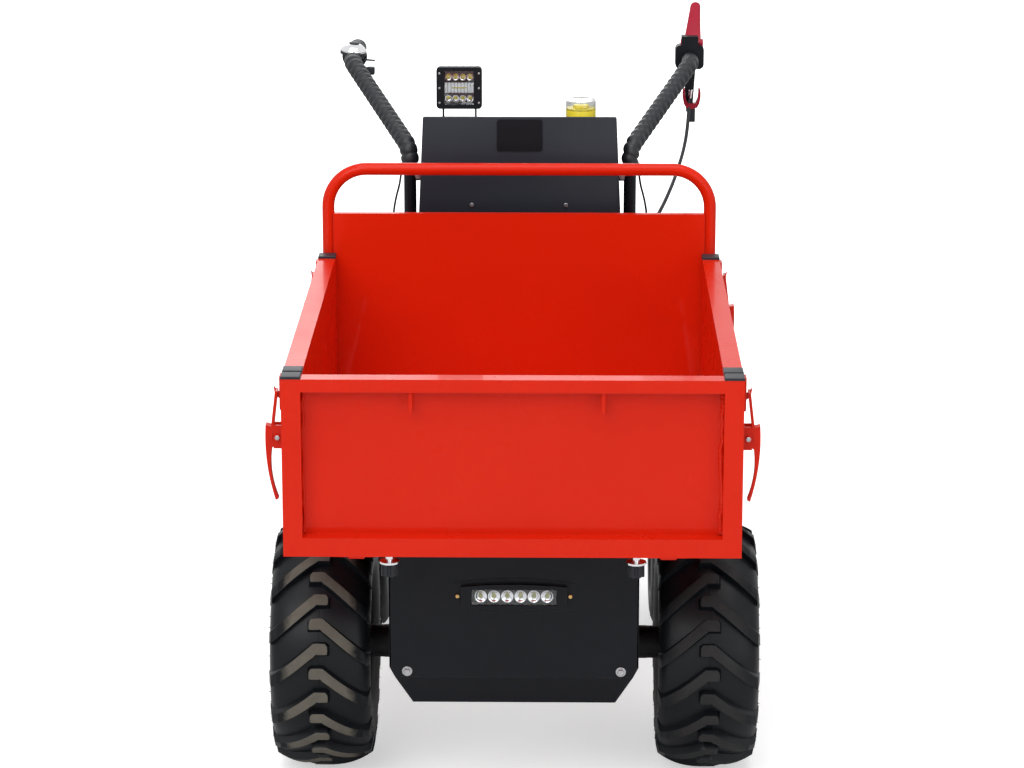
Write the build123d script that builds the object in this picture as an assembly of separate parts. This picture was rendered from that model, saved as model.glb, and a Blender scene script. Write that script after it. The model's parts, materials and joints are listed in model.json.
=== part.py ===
from build123d import *
import math
import os

os.makedirs("parts", exist_ok=True)

# A walk-behind mini dumper with a tipping tray, millimetres, Z up.
# Depth is counted rearwards from the front gate's outer face. X is to the right
# of someone who stands in front of the machine and looks at it.

# Overall
overall_length = 1390.0
running_gap = 0.05
seat_gap = 0.3
travel_gap = 5.0

# Tray panels
tray_width = 689.0
tray_bottom = 474.0
panel_height = 276.0
panel_tube = 29.0
panel_sheet = 2.5
gate_top_rail = 20.0
side_top_rail = 29.0
bottom_rail = 29.0
side_length = 800.0
cap_height = 4.0
cap_overhang = 0.8

# Panel hinges
hinge_gap = 12.0
hinge_drop = 6.0
hinge_radius = 5.5
hinge_pin_radius = 3.0
hinge_strap = 4.5
hinge_strap_reach = 34.0
hinge_knuckle = 24.0
hinge_end_knuckle = 16.0
hinge_axial_gap = 0.5
gate_hinge_x = 235.0
side_hinge_inset = 130.0

# Gate hooks
hook_diameter = 8.0
hook_length = 32.0
hook_left_x = -152.0
hook_right_x = 136.0

# Tray floor and its frame
floor_sheet = 3.0
long_rail_x = 199.5
long_rail_width = 29.0
cross_rail_width = 29.0
cross_rail_depths = (330.0, 575.0, 775.0)

# Headboard and its hoop
headboard_width = 641.0
headboard_top = 822.0
headboard_sheet = 3.0
hoop_tube = 21.3
hoop_leg_x = 329.0
hoop_top = 898.0
hoop_bend = 66.0

# Over-centre latches on the drop sides
latch_width = 22.0
latch_wall = 3.0
latch_base_rise = 158.0
latch_base_height = 36.0
latch_base_reach = 15.0
latch_lever_reach = 27.0
latch_lever_length = 118.0
latch_lever_width = 16.0
latch_pivot_radius = 3.0
latch_wire = 4.0
latch_wire_length = 74.0
catch_plate = 5.0
catch_height = 54.0
catch_drop = 6.0
catch_horn = 9.0

# Hand screws under the front of the tray
screw_x = 188.0
screw_depth = 60.0
screw_flange = 31.0
screw_shank = 12.0
screw_low = 426.0
knob_diameter = 26.0
knob_height = 20.0
flute_count = 8
flute_radius = 3.0
flange_thickness = 3.0

# Tipping pivot
pivot_depth = 210.0
pivot_height = 452.0
pivot_pin_radius = 8.0
pivot_lug = 8.0
pivot_lug_radius = 15.0
pivot_side_gap = 2.0

# Chassis
rail_x = 170.0
rail_width = 40.0
rail_height = 60.0
rail_top = 450.0
rail_front = 193.0
rail_rear = 1125.0
member_height = 50.0
member_width = 40.0
member_depths = (213.0, 830.0, 900.0, 1004.0)
rest_pad_depth = 789.5
rest_pad_size = 30.0

# Front cover
cover_width = 393.0
cover_sheet = 3.0
cover_top = 425.0
cover_fold = 215.0
cover_bottom = 178.0
cover_chamfer_start = 231.0
cover_chamfer_in = 36.0
cover_fold_back = 24.0
cover_flange = 25.0

# Light bar in the front cover
bar_width = 191.0
bar_centre = 350.0
bar_height = 42.0
bar_crown = 8.0
bar_proud = 12.0
bar_flange = 4.0
bar_margin = 13.0
lens_width = 134.0
lens_height = 26.0
lens_proud = 2.0

# Battery case
battery_length = 560.0
battery_front = 233.5
battery_low = 285.0
battery_high = 445.0

# Drive axle
axle_depth = 392.0
axle_radius = 27.0
axle_end_x = 214.0
stub_radius = 15.0
diff_radius = 72.0
diff_width = 110.0
diff_chamfer = 18.0
hub_reach = 44.0
hanger = 8.0
hanger_depth = 90.0
motor_radius = 52.0
motor_rise = 10.0
motor_nest = 8.0

# Drive wheels
tyre_radius = 203.0
tyre_width = 171.0
tyre_track = 620.0
tread_width = 146.0
tread_edge_radius = 185.0
lug_count = 16
lug_phase = 18.8
lug_height = 13.0
lug_edge_height = 6.0
lug_width = 16.0
lug_head_reach = 15.0
lug_bend_x = 5.0
lug_lean = 16.0
lug_sweep = 60.0
lug_reach = 84.0
drive_rim_radius = 101.6
drive_rim_width = 132.0
drive_hub_radius = 34.0
rim_wall = 4.0
rim_lip = 3.0
rim_rise = 9.0
hub_proud = 22.0
hub_inset = 8.0
drive_disc_offset = 14.0

# Swivel casters
caster_radius = 165.0
caster_width = 118.0
caster_x = 296.0
swivel_depth = 1004.0
caster_trail = 60.0
caster_tread_width = 92.0
caster_edge_radius = 156.0
caster_rim_radius = 76.2
caster_rim_width = 90.0
caster_hub_radius = 24.0
caster_axle_radius = 10.0
fork_leg = 6.0
fork_gap = 8.0
fork_crown_low = 345.0
fork_crown = 8.0
fork_half = 45.0
kingpin_radius = 12.0
swivel_head_radius = 32.0
outrigger_end = 336.0

# Console
console_front = 950.0
console_depth = 180.0
console_top = 972.0
console_half_top = 169.0
console_half_low = 177.0
console_taper_start = 800.0
label_width = 80.0
label_height = 57.0
label_top = 967.0
label_thickness = 1.5
label_corner = 5.0
console_round = 3.5

# Work lamp
lamp_x = -106.5
lamp_depth = 1010.0
lamp_width = 80.0
lamp_height = 74.0
lamp_bezel_depth = 14.0
lamp_body_depth = 42.0
lamp_fin = 4.0
lamp_fin_count = 6
lamp_corner = 7.0
lamp_centre = 1015.0
lamp_window_width = 52.0
lamp_window_height = 60.0
bracket_leg = 3.0
bracket_width = 22.0

# Stop switch with its guard
stop_x = 107.0
stop_depth = 1020.0
stop_base_radius = 27.0
stop_base_height = 11.0
stop_cap_radius = 25.0
stop_cap_height = 22.0
stop_guard_wall = 2.0
stop_button_radius = 14.0
stop_tab = 20.0

# Handlebars
handle_x = 194.0
handle_depth = 1000.0
handle_tube = 22.0
handle_bend_height = 905.0
handle_flare_x = 307.0
handle_straight = 175.0
handle_flare_height = 1022.0
handle_low_bend = 34.0
handle_top_bend = 45.0
handle_tab_rise = 413.0
handle_tab_height = 28.0
handle_tab_thickness = 8.0
sleeve_diameter = 34.0
sleeve_low_run = 25.0
sleeve_top_run = 18.0
grip_diameter = 33.0
grip_length = 106.0
grip_flange = 46.0
grip_flange_thickness = 4.0
grip_end_wall = 2.0

# Tip release lever and its clamp
clamp_length = 26.0
clamp_width = 52.0
clamp_low = 18.0
clamp_high = 26.0
clamp_boss_width = 30.0
clamp_boss_height = 16.0
arm_width = 22.0
arm_tip_width = 11.0
arm_length = 86.0
arm_thickness = 9.0
lever_length = 104.0
lever_tilt = 33.0
lever_base_width = 32.0
lever_tip_width = 19.0
lever_thickness = 8.0
lever_lean = 6.0
fork_width = 30.0
fork_wall = 4.0
fork_drop = 30.0
fork_height = 36.0
fork_depth = 18.0
barrel_radius = 3.5

# Bell on the left grip
bell_diameter = 47.0
bell_height = 16.0
bell_base_diameter = 49.0
bell_seat_rise = 23.0
bell_collar_radius = 17.0
bell_plate = 4.0

# Cables, all held along their whole length
release_cable_diameter = 7.0
lead_diameter = 4.0
arc_share = 0.45

# Catch that holds the tray down
catch_width = 40.0
catch_depth = 900.0
catch_base = 6.0
catch_pawl_width = 8.0
catch_pawl_rise = 18.0
striker_bar = 8.0
striker_half = 14.0
striker_rise = 14.0
striker_inset = 15.0
striker_ear = 4.0

# Rear panel of the console
access_width = 300.0
access_height = 290.0
access_thickness = 2.0


def at(depth):
    return depth - (overall_length - cap_overhang) / 2


def block(x_low, x_high, depth_low, depth_high, z_low, z_high):
    size = Box(x_high - x_low, depth_high - depth_low, z_high - z_low)
    return Pos((x_low + x_high) / 2, at((depth_low + depth_high) / 2), (z_low + z_high) / 2) * size


def bar_x(x_low, x_high, depth, z, radius):
    length = x_high - x_low
    return Pos((x_low + x_high) / 2, at(depth), z) * Rot(0, 90, 0) * Cylinder(radius, length)


def bar_y(x, depth_low, depth_high, z, radius):
    length = depth_high - depth_low
    return Pos(x, at((depth_low + depth_high) / 2), z) * Rot(90, 0, 0) * Cylinder(radius, length)


def bar_z(x, depth, z_low, z_high, radius):
    return Pos(x, at(depth), (z_low + z_high) / 2) * Cylinder(radius, z_high - z_low)


def prism(depth, width, points):
    """Extrudes an outline of (x, z) points along the depth, centred on a depth."""
    outline = make_face(Polyline(*points, close=True))
    return extrude(Plane.XZ.offset(-at(depth - width / 2)) * outline, -width)


def mirrored(shape):
    return mirror(shape, about=Plane.YZ)


def side_of(shape, side):
    return shape if side > 0 else mirrored(shape)


def turned(points, x_centre, depth, z):
    """Turns an outline of (radius, offset) points about the X axis through a centre."""
    outline = make_face(Polyline(*points, close=True))
    wheel = revolve(outline, Axis.Y)
    return Pos(x_centre, at(depth), z) * Rot(0, 0, -90) * wheel


def pair(shape):
    return Compound(children=[shape, mirrored(shape)])


def cord_radii(points):
    """The largest arc that fits each corner of a cord's route."""
    radii = []
    for before, corner, after in zip(points, points[1:], points[2:]):
        arriving = corner - before
        leaving = after - corner
        turn = math.radians(arriving.get_angle(leaving))
        radii.append(arc_share * min(arriving.length, leaving.length) / math.tan(turn / 2))
    return radii


def cord(name, route, diameter):
    """A round cord along straight runs joined by tangent arcs."""
    points = [Vector(x, at(depth), z) for x, depth, z in route]
    radii = cord_radii(points)
    path = FilletPolyline(*points, radius=radii)
    start = Plane(origin=path @ 0, z_dir=path % 0)
    tube = sweep(start * Circle(diameter / 2), path=path)
    expected = math.pi * diameter ** 2 / 4 * path.length
    print(name, "length", round(path.length), "radii", [round(r) for r in radii],
          "volume share", round(tube.volume / expected, 3))
    return tube


def save(name, shape):
    solids = shape.solids()
    result = solids[0] if len(solids) == 1 else Compound(children=list(solids))
    export_step(result, f"parts/{name}.step")


# Heights and depths that follow from the sizes above
panel_top = tray_bottom + panel_height
half_width = tray_width / 2
side_front = panel_tube + travel_gap + 2 * cap_overhang
side_rear = side_front + side_length
headboard_front = side_rear + travel_gap + cap_overhang
floor_half = half_width - panel_tube - hinge_gap
floor_front = panel_tube + hinge_gap
floor_rear = headboard_front + panel_tube
floor_top = tray_bottom + bottom_rail
hinge_height = tray_bottom - hinge_drop
gate_hinge_depth = panel_tube + hinge_gap / 2
side_hinge_x = floor_half + hinge_gap / 2
leg_depth = headboard_front + hoop_tube / 2
frame_height = bottom_rail - floor_sheet
rail_outer = rail_x + rail_width / 2
rail_inner = rail_x - rail_width / 2
drive_centre_x = tyre_track / 2


def panel(length, top_rail):
    """A frame of square tube round a sheet that is flush with its inner face.

    It stands on Z = 0, its inner face on Y = 0 and its outer face towards +Y.
    """
    frame = Pos(0, panel_tube / 2, panel_height / 2) * Box(length, panel_tube, panel_height)
    window_height = panel_height - top_rail - bottom_rail
    pocket = Box(length - 2 * panel_tube, panel_tube, window_height)
    pocket = Pos(0, panel_sheet + panel_tube / 2, bottom_rail + window_height / 2) * pocket
    return frame - pocket


def panel_eye():
    """The panel's half of a hinge: a strap under the bottom rail and its knuckle.

    Its axis runs along X through the origin and the panel lies towards +Y.
    """
    knuckle = Rot(0, 90, 0) * Cylinder(hinge_radius, hinge_knuckle)
    strap_end = hinge_gap / 2 + panel_tube - travel_gap
    strap = Box(hinge_knuckle, strap_end, hinge_strap)
    strap = Pos(0, strap_end / 2, hinge_drop - hinge_strap / 2) * strap
    bore = Rot(0, 90, 0) * Cylinder(hinge_pin_radius + running_gap, 2 * hinge_knuckle)
    return knuckle + strap - bore


def frame_eye():
    """The tray frame's half of a hinge: two straps with end knuckles, and the pin."""
    offset = hinge_knuckle / 2 + hinge_axial_gap + hinge_end_knuckle / 2
    result = Rot(0, 90, 0) * Cylinder(hinge_pin_radius, 2 * offset + hinge_end_knuckle)
    for side in (-1, 1):
        knuckle = Pos(side * offset, 0, 0) * Rot(0, 90, 0) * Cylinder(hinge_radius, hinge_end_knuckle)
        strap = Box(hinge_end_knuckle, hinge_strap_reach, hinge_strap)
        strap = Pos(side * offset, -hinge_strap_reach / 2, hinge_drop - hinge_strap / 2) * strap
        result += knuckle + strap
    return result


def panel_cap(length):
    """Two plastic caps over the open tops of a panel's end tubes."""
    caps = []
    plate = panel_tube + 2 * cap_overhang
    for side in (-1, 1):
        centre = side * (length - panel_tube) / 2
        top = Pos(centre, panel_tube / 2, panel_height + cap_height / 2) * Box(plate, plate, cap_height)
        caps.append(top)
    return Compound(children=caps)


def make_gate():
    place = Pos(0, at(panel_tube), tray_bottom) * Rot(0, 0, 180)
    gate = place * panel(tray_width, gate_top_rail)
    for x in (-gate_hinge_x, gate_hinge_x):
        gate += Pos(x, at(gate_hinge_depth), hinge_height) * Rot(0, 0, 180) * panel_eye()
    hook_top = panel_top - gate_top_rail / 2
    hook_low = panel_top - gate_top_rail - hook_length
    for x in (hook_left_x, hook_right_x):
        gate += bar_z(x, gate_top_rail / 2, hook_low, hook_top, hook_diameter / 2)
    return gate, place * panel_cap(tray_width)


def make_side():
    place = Pos(half_width - panel_tube, at((side_front + side_rear) / 2), tray_bottom) * Rot(0, 0, -90)
    side = place * panel(side_length, side_top_rail)
    for depth in (side_front + side_hinge_inset, side_rear - side_hinge_inset):
        side += Pos(side_hinge_x, at(depth), hinge_height) * Rot(0, 0, -90) * panel_eye()
    return side, place * panel_cap(side_length)


def make_latch(depth):
    """An over-centre latch on the outer face of a drop side's end tube."""
    near = depth - latch_width / 2
    far = depth + latch_width / 2
    face = half_width
    catch_high = panel_top - catch_drop
    catch_low = catch_high - catch_height
    catch = block(face, face + catch_plate, near, far, catch_low, catch_high)
    catch = fillet(catch.edges().filter_by(Axis.X).group_by(Axis.Z)[0], latch_width * 0.45)
    horn_root = face + catch_plate
    horn_height = catch_low + catch_height / 2
    horn_out = horn_root + catch_horn
    horn = prism(depth, latch_width / 3, [
        (horn_root, horn_height - catch_horn), (horn_out - 2, horn_height - 4), (horn_out, horn_height + catch_horn),
        (horn_out - 4, horn_height + 3), (horn_root, horn_height),
    ])
    base_low = tray_bottom + latch_base_rise
    base_high = base_low + latch_base_height
    base = block(face, face + latch_wall, near, far, base_low, base_high)
    for ear in (near, far - latch_wall):
        base += block(face, face + latch_base_reach, ear, ear + latch_wall, base_low, base_high)
    pivot_x = face + latch_base_reach - 2 * latch_pivot_radius
    pivot = bar_y(pivot_x, near - latch_wall, far + latch_wall, base_low + latch_base_height / 2, latch_pivot_radius)
    out = face + latch_lever_reach
    tip = base_high - latch_lever_length
    outer = ThreePointArc((out, base_high), (out - 2, (base_low + tip) / 2 + 12), (out - latch_lever_reach / 2, tip))
    end = Line((out - latch_lever_reach / 2, tip), (out - latch_lever_reach / 2 - 4, tip + 2))
    inner = ThreePointArc(
        (out - latch_lever_reach / 2 - 4, tip + 2), (out - 7, (base_low + tip) / 2 + 14), (out - 9, base_low),
    )
    back = Polyline((out - 9, base_low), (pivot_x - 4, base_low + 8), (pivot_x - 4, base_high - 6), (out, base_high))
    lever_face = Plane.XZ.offset(-at(depth - latch_lever_width / 2)) * make_face(outer + end + inner + back)
    lever = extrude(lever_face, -latch_lever_width)
    bail_x = horn_out - latch_wire
    bail_z = horn_height + latch_wire / 2
    low_x = out - 2 * latch_wire
    low_z = bail_z - latch_wire_length
    wire = latch_wire / 2
    latch = catch + horn + base + pivot + lever
    for middle in (near + wire, far - wire):
        latch += prism(middle, latch_wire, [
            (bail_x - wire, bail_z), (bail_x + wire, bail_z), (low_x + wire, low_z), (low_x - wire, low_z),
        ])
    latch += block(bail_x - wire, bail_x + wire, near, far, bail_z - wire, bail_z + wire)
    return latch


def make_floor():
    sheet = block(-floor_half, floor_half, floor_front, headboard_front, floor_top - floor_sheet, floor_top)
    low = tray_bottom
    high = tray_bottom + frame_height
    inner = long_rail_x - long_rail_width / 2
    outer = long_rail_x + long_rail_width / 2
    edge = floor_half - long_rail_width
    long_rail = block(inner, outer, floor_front, floor_rear, low, high)
    edge_rail = block(edge, floor_half, floor_front, floor_rear, low, high)
    rails = Compound(children=[long_rail, edge_rail, mirrored(long_rail), mirrored(edge_rail)])
    depths = [floor_front + cross_rail_width / 2, *cross_rail_depths, floor_rear - cross_rail_width / 2]
    members = []
    for depth in depths:
        near = depth - cross_rail_width / 2
        far = depth + cross_rail_width / 2
        members.append(block(-inner, inner, near, far, low, high))
        members.append(block(outer, edge, near, far, low, high))
        members.append(block(-edge, -outer, near, far, low, high))
    return sheet, rails, Compound(children=members)


def make_frame_hinges():
    hinges = []
    for x in (-gate_hinge_x, gate_hinge_x):
        hinges.append(Pos(x, at(gate_hinge_depth), hinge_height) * Rot(0, 0, 180) * frame_eye())
    for depth in (side_front + side_hinge_inset, side_rear - side_hinge_inset):
        right = Pos(side_hinge_x, at(depth), hinge_height) * Rot(0, 0, -90) * frame_eye()
        hinges.append(right)
        hinges.append(mirrored(right))
    return Compound(children=hinges)


def make_tip_lugs():
    """The tray's two pivot lugs, beside the chassis lugs."""
    x_low = rail_outer + pivot_lug + pivot_side_gap
    x_high = x_low + pivot_lug
    lug = bar_x(x_low, x_high, pivot_depth, pivot_height, pivot_lug_radius)
    lug += block(
        x_low, x_high, pivot_depth - pivot_lug_radius, pivot_depth + pivot_lug_radius,
        pivot_height, tray_bottom,
    )
    lug -= bar_x(x_low - 1, x_high + 1, pivot_depth, pivot_height, pivot_pin_radius + running_gap)
    return pair(lug)


def make_headboard():
    sheet = block(
        -headboard_width / 2, headboard_width / 2, headboard_front, headboard_front + headboard_sheet,
        floor_top - floor_sheet, headboard_top,
    )
    lip = block(
        -headboard_width / 2, headboard_width / 2, headboard_front, headboard_front + 12,
        headboard_top - headboard_sheet, headboard_top,
    )
    path = FilletPolyline(
        (-hoop_leg_x, at(leg_depth), tray_bottom),
        (-hoop_leg_x, at(leg_depth), hoop_top),
        (hoop_leg_x, at(leg_depth), hoop_top),
        (hoop_leg_x, at(leg_depth), tray_bottom),
        radius=hoop_bend,
    )
    start = Plane(origin=path @ 0, z_dir=path % 0)
    hoop = sweep(start * Circle(hoop_tube / 2), path=path)
    # Each leg's foot stands beside the floor's rear corner on a small outrigger
    foot_top = floor_top - floor_sheet
    foot = block(floor_half, hoop_leg_x, headboard_front, floor_rear, tray_bottom, foot_top)
    return sheet + lip + hoop + foot + mirrored(foot)


def make_hand_screws():
    disc_low = tray_bottom - flange_thickness
    flange = bar_z(screw_x, screw_depth, disc_low, tray_bottom, screw_flange / 2)
    flange += bar_z(screw_x, screw_depth, disc_low - 2 * flange_thickness, disc_low, screw_flange / 2 - 4)
    knob_high = screw_low + knob_height
    flange += bar_z(screw_x, screw_depth, knob_high, knob_high + flange_thickness, screw_flange / 2)
    shank = bar_z(screw_x, screw_depth, knob_high, tray_bottom, screw_shank / 2)
    knob = bar_z(screw_x, screw_depth, screw_low, knob_high, knob_diameter / 2)
    for index in range(flute_count):
        angle = 2 * math.pi * index / flute_count
        flute_x = screw_x + knob_diameter / 2 * math.cos(angle)
        flute_depth = screw_depth + knob_diameter / 2 * math.sin(angle)
        knob -= bar_z(flute_x, flute_depth, screw_low - 1, knob_high + 1, flute_radius)
    return pair(flange + shank), pair(knob)


def make_striker():
    """The bar under the tray's rear that the catch holds."""
    depth = floor_rear - striker_inset
    z = tray_bottom - striker_rise
    bar = bar_x(-striker_half, striker_half, depth, z, striker_bar / 2)
    for x_low in (-striker_half, striker_half - striker_ear):
        bar += block(x_low, x_low + striker_ear, depth - striker_bar, depth + striker_bar / 2, z, tray_bottom)
    return bar


def make_catch():
    """A plate on the chassis with the pawl that stands behind the striker."""
    member = catch_depth + member_width / 2
    low = rail_top
    plate = block(-catch_width / 2, catch_width / 2, catch_depth - member_width / 2, member, low, low + catch_base)
    nose = floor_rear - striker_inset + striker_bar / 2 + travel_gap
    pawl_points = [
        (nose + 4, low + catch_base), (nose, low + catch_pawl_rise / 2), (nose + 6, low + catch_pawl_rise),
        (nose + 12, low + catch_pawl_rise - 4), (catch_depth, low + catch_base), (catch_depth, low),
        (catch_depth - member_width / 2, low),
    ]
    outline = make_face(Polyline(*[(at(depth), z) for depth, z in pawl_points], close=True))
    plate += extrude(Plane.YZ.offset(-catch_pawl_width / 2) * outline, catch_pawl_width)
    anchor = block(-catch_width / 2, catch_width / 2, member - catch_base, member, low, low + catch_pawl_rise)
    return plate + anchor


def make_chassis_rails():
    rail = block(rail_inner, rail_outer, rail_front, rail_rear, rail_top - rail_height, rail_top)
    lug = bar_x(rail_outer, rail_outer + pivot_lug, pivot_depth, pivot_height, pivot_lug_radius)
    lug += block(
        rail_outer, rail_outer + pivot_lug, pivot_depth - pivot_lug_radius,
        pivot_depth + pivot_lug_radius, cover_top + travel_gap, pivot_height,
    )
    pin_end = rail_outer + 2 * pivot_lug + 2 * pivot_side_gap
    pin = bar_x(rail_outer, pin_end, pivot_depth, pivot_height, pivot_pin_radius)
    return pair(rail + lug + pin)


def make_members():
    low = rail_top - member_height
    parts = []
    for depth in member_depths:
        near = depth - member_width / 2
        far = depth + member_width / 2
        parts.append(block(-rail_inner, rail_inner, near, far, low, rail_top))
    return Compound(children=parts)


def make_outriggers():
    near = swivel_depth - member_width / 2 - 6
    far = swivel_depth + member_width / 2 + 6
    arm = block(rail_outer, outrigger_end, near, far, rail_top - member_height, rail_top)
    arm -= bar_z(caster_x, swivel_depth, 0, rail_top + 1, kingpin_radius + running_gap)
    return pair(arm)


def make_hangers():
    near = axle_depth - hanger_depth / 2
    far = axle_depth + hanger_depth / 2
    plate = block(
        rail_x - hanger / 2, rail_x + hanger / 2, near, far, tyre_radius, rail_top - rail_height,
    )
    plate -= bar_x(rail_x - hanger, rail_x + hanger, axle_depth, tyre_radius, axle_radius)
    return pair(plate)


def make_rest_pads():
    near = rest_pad_depth - rest_pad_size / 2
    far = rest_pad_depth + rest_pad_size / 2
    pad = block(
        rail_x - rest_pad_size / 2, rail_x + rest_pad_size / 2, near, far,
        rail_top, tray_bottom - seat_gap,
    )
    return pair(pad)


def make_cover():
    front = rail_front - cover_sheet
    half = cover_width / 2
    outline = [
        (-half, cover_top), (half, cover_top), (half, cover_chamfer_start),
        (half - cover_chamfer_in, cover_bottom), (cover_chamfer_in - half, cover_bottom),
        (-half, cover_chamfer_start),
    ]
    face = Plane.XZ.offset(-at(front)) * make_face(Polyline(*outline, close=True))
    silhouette = extrude(face, -(cover_flange + cover_fold_back + cover_sheet))
    section_points = [
        (front, cover_top), (front, cover_fold), (front + cover_fold_back, cover_bottom),
        (front + cover_fold_back + cover_sheet, cover_bottom),
        (front + cover_sheet, cover_fold + 1), (front + cover_sheet, cover_top),
    ]
    section = [(at(depth), z) for depth, z in section_points]
    sheet = extrude(Plane.YZ.offset(-half) * make_face(Polyline(*section, close=True)), cover_width)
    cover = sheet & silhouette
    flange = block(
        half - cover_sheet, half, front, front + cover_flange, cover_chamfer_start, cover_top,
    )
    flange += block(
        rail_outer, half, front, front + cover_sheet, cover_chamfer_start, cover_top,
    )
    return cover + flange + mirrored(flange)


def make_light_bar():
    """A lamp with an arched outline: a flange, a raised frame and the lens in it."""
    front = rail_front - cover_sheet
    frame_proud = bar_proud
    bezel = arched(bar_width, bar_height, bar_crown, front, bar_flange)
    bezel += arched(bar_width - 2 * bar_margin, bar_height - bar_crown, bar_crown / 2, front, frame_proud)
    low = bar_centre - lens_height / 2
    high = bar_centre + lens_height / 2
    half = lens_width / 2
    bezel -= block(-half, half, front - bar_proud - 1, front - lens_proud, low, high)
    lens = block(-half, half, front - bar_proud + lens_proud, front - lens_proud, low, high)
    return bezel, lens


def arched(width, height, crown, front, proud):
    """A plate whose long edges are arcs, standing proud of a plane towards the front."""
    half = width / 2
    low = bar_centre - height / 2
    high = bar_centre + height / 2
    edge = Line((-half, low), (-half, high))
    edge += ThreePointArc((-half, high), (0, high + crown), (half, high))
    edge += Line((half, high), (half, low))
    edge += ThreePointArc((half, low), (0, low - crown), (-half, low))
    return extrude(Plane.XZ.offset(-at(front)) * make_face(edge), proud)


def make_axle():
    tube = bar_x(-axle_end_x, axle_end_x, axle_depth, tyre_radius, axle_radius)
    stub_end = drive_centre_x + hub_reach
    tube += bar_x(-stub_end, stub_end, axle_depth, tyre_radius, stub_radius)
    diff = Pos(0, at(axle_depth), tyre_radius) * Rot(0, 90, 0) * Cylinder(diff_radius, diff_width)
    tube += chamfer(diff.edges().filter_by(GeomType.CIRCLE), diff_chamfer)
    return tube


def make_motor():
    far = axle_depth - diff_radius + motor_nest
    near = rail_front + cover_fold_back + cover_sheet + travel_gap
    body = bar_y(0, near, far, tyre_radius + motor_rise, motor_radius)
    body = chamfer(body.edges().group_by(Axis.Y)[0], motor_nest)
    body -= bar_x(-axle_end_x, axle_end_x, axle_depth, tyre_radius, diff_radius + running_gap)
    return body


def wheel_tyre(radius, width, tread, edge_radius, tread_depth, rim_radius, rim_width, x_centre, depth):
    """A tyre's carcass, below a tread that stands out by the tread depth."""
    half = width / 2
    crown = radius - tread_depth
    edge = edge_radius - tread_depth
    belly = (edge_radius + rim_radius) / 2
    seat = rim_width / 2 - 2 * rim_lip - seat_gap
    right = [
        (rim_radius + seat_gap, seat), (rim_radius + rim_rise + seat_gap, seat + rim_lip),
        (belly, half), (edge, tread / 2 + 2), (crown - 2, tread / 4),
    ]
    left = [(r, -x) for r, x in reversed(right)]
    return turned([*right, (crown, 0), *left], x_centre, depth, radius)


def wheel_rim(radius, rim_radius, rim_width, hub_radius, bore_radius, disc_offset, x_centre, depth):
    """A pressed rim: its barrel, the disc across it and the hub through the disc."""
    half = rim_width / 2
    lip = rim_radius + rim_rise
    inner = rim_radius - rim_wall
    disc = disc_offset + rim_wall
    hub_end = disc + hub_proud
    hub_start = hub_inset - half
    points = [
        (bore_radius, hub_start), (bore_radius, hub_end), (hub_radius, hub_end),
        (hub_radius, disc), (inner, disc), (inner, half), (lip, half), (lip, half - rim_lip),
        (rim_radius, half - 2 * rim_lip), (rim_radius, 2 * rim_lip - half), (lip, rim_lip - half), (lip, -half),
        (inner, -half), (inner, disc_offset - rim_wall / 2), (hub_radius, disc_offset - rim_wall / 2),
        (hub_radius, hub_start),
    ]
    return turned(points, x_centre, depth, radius)


def lug_outline(side):
    """A lug seen from outside: a head across the tread's centre and a leg to the shoulder."""
    half = lug_width / 2
    drop = math.tan(math.radians(lug_lean)) * (lug_reach - lug_bend_x)
    points = [
        (-lug_head_reach, half - 3), (3 - lug_head_reach, half), (lug_bend_x, half),
        (lug_reach, half - drop), (lug_reach, -half - drop), (lug_bend_x - 2, -half),
        (3 - lug_head_reach, -half), (-lug_head_reach, 3 - half),
    ]
    return [(side * x, y) for x, y in points]


def make_lug(side):
    """One solid lug, whose flat top steps down from the crown to the shoulder."""
    outline = make_face(Polyline(*lug_outline(side), close=True))
    root = tread_edge_radius - lug_edge_height - lug_height
    block_of_lug = extrude(Plane.XY.offset(root) * outline, tyre_radius)
    span = lug_reach + 1
    tops = [
        (-lug_head_reach - 1, tyre_radius), (tread_width / 4, tyre_radius - 3),
        (tread_width / 2, tread_edge_radius), (span, tread_edge_radius - lug_height),
    ]
    section = [(-lug_head_reach - 1, root - 1), *tops, (span, root - 1)]
    profile = make_face(Polyline(*[(side * x, z) for x, z in section], close=True))
    crown = extrude(Plane.XZ.offset(-lug_sweep) * profile, 2 * lug_sweep)
    return block_of_lug & crown


def lugged(tyre, x_centre, depth):
    """Fuses two staggered rows of lugs to a tyre."""
    lugs = []
    pitch = 360 / lug_count
    for side in (-1, 1):
        lug = make_lug(side)
        for index in range(lug_count):
            angle = lug_phase + pitch * (index - (side + 1) / 4)
            lugs.append(Pos(x_centre, at(depth), tyre_radius) * Rot(angle, 0, 0) * lug)
    return tyre.fuse(*lugs)


def make_drive_wheel():
    tyre = wheel_tyre(
        tyre_radius, tyre_width, tread_width, tread_edge_radius, lug_height,
        drive_rim_radius, drive_rim_width, drive_centre_x, axle_depth,
    )
    rim = wheel_rim(
        tyre_radius, drive_rim_radius, drive_rim_width, drive_hub_radius,
        stub_radius + running_gap, drive_disc_offset, drive_centre_x, axle_depth,
    )
    return lugged(tyre, drive_centre_x, axle_depth), rim


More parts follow.
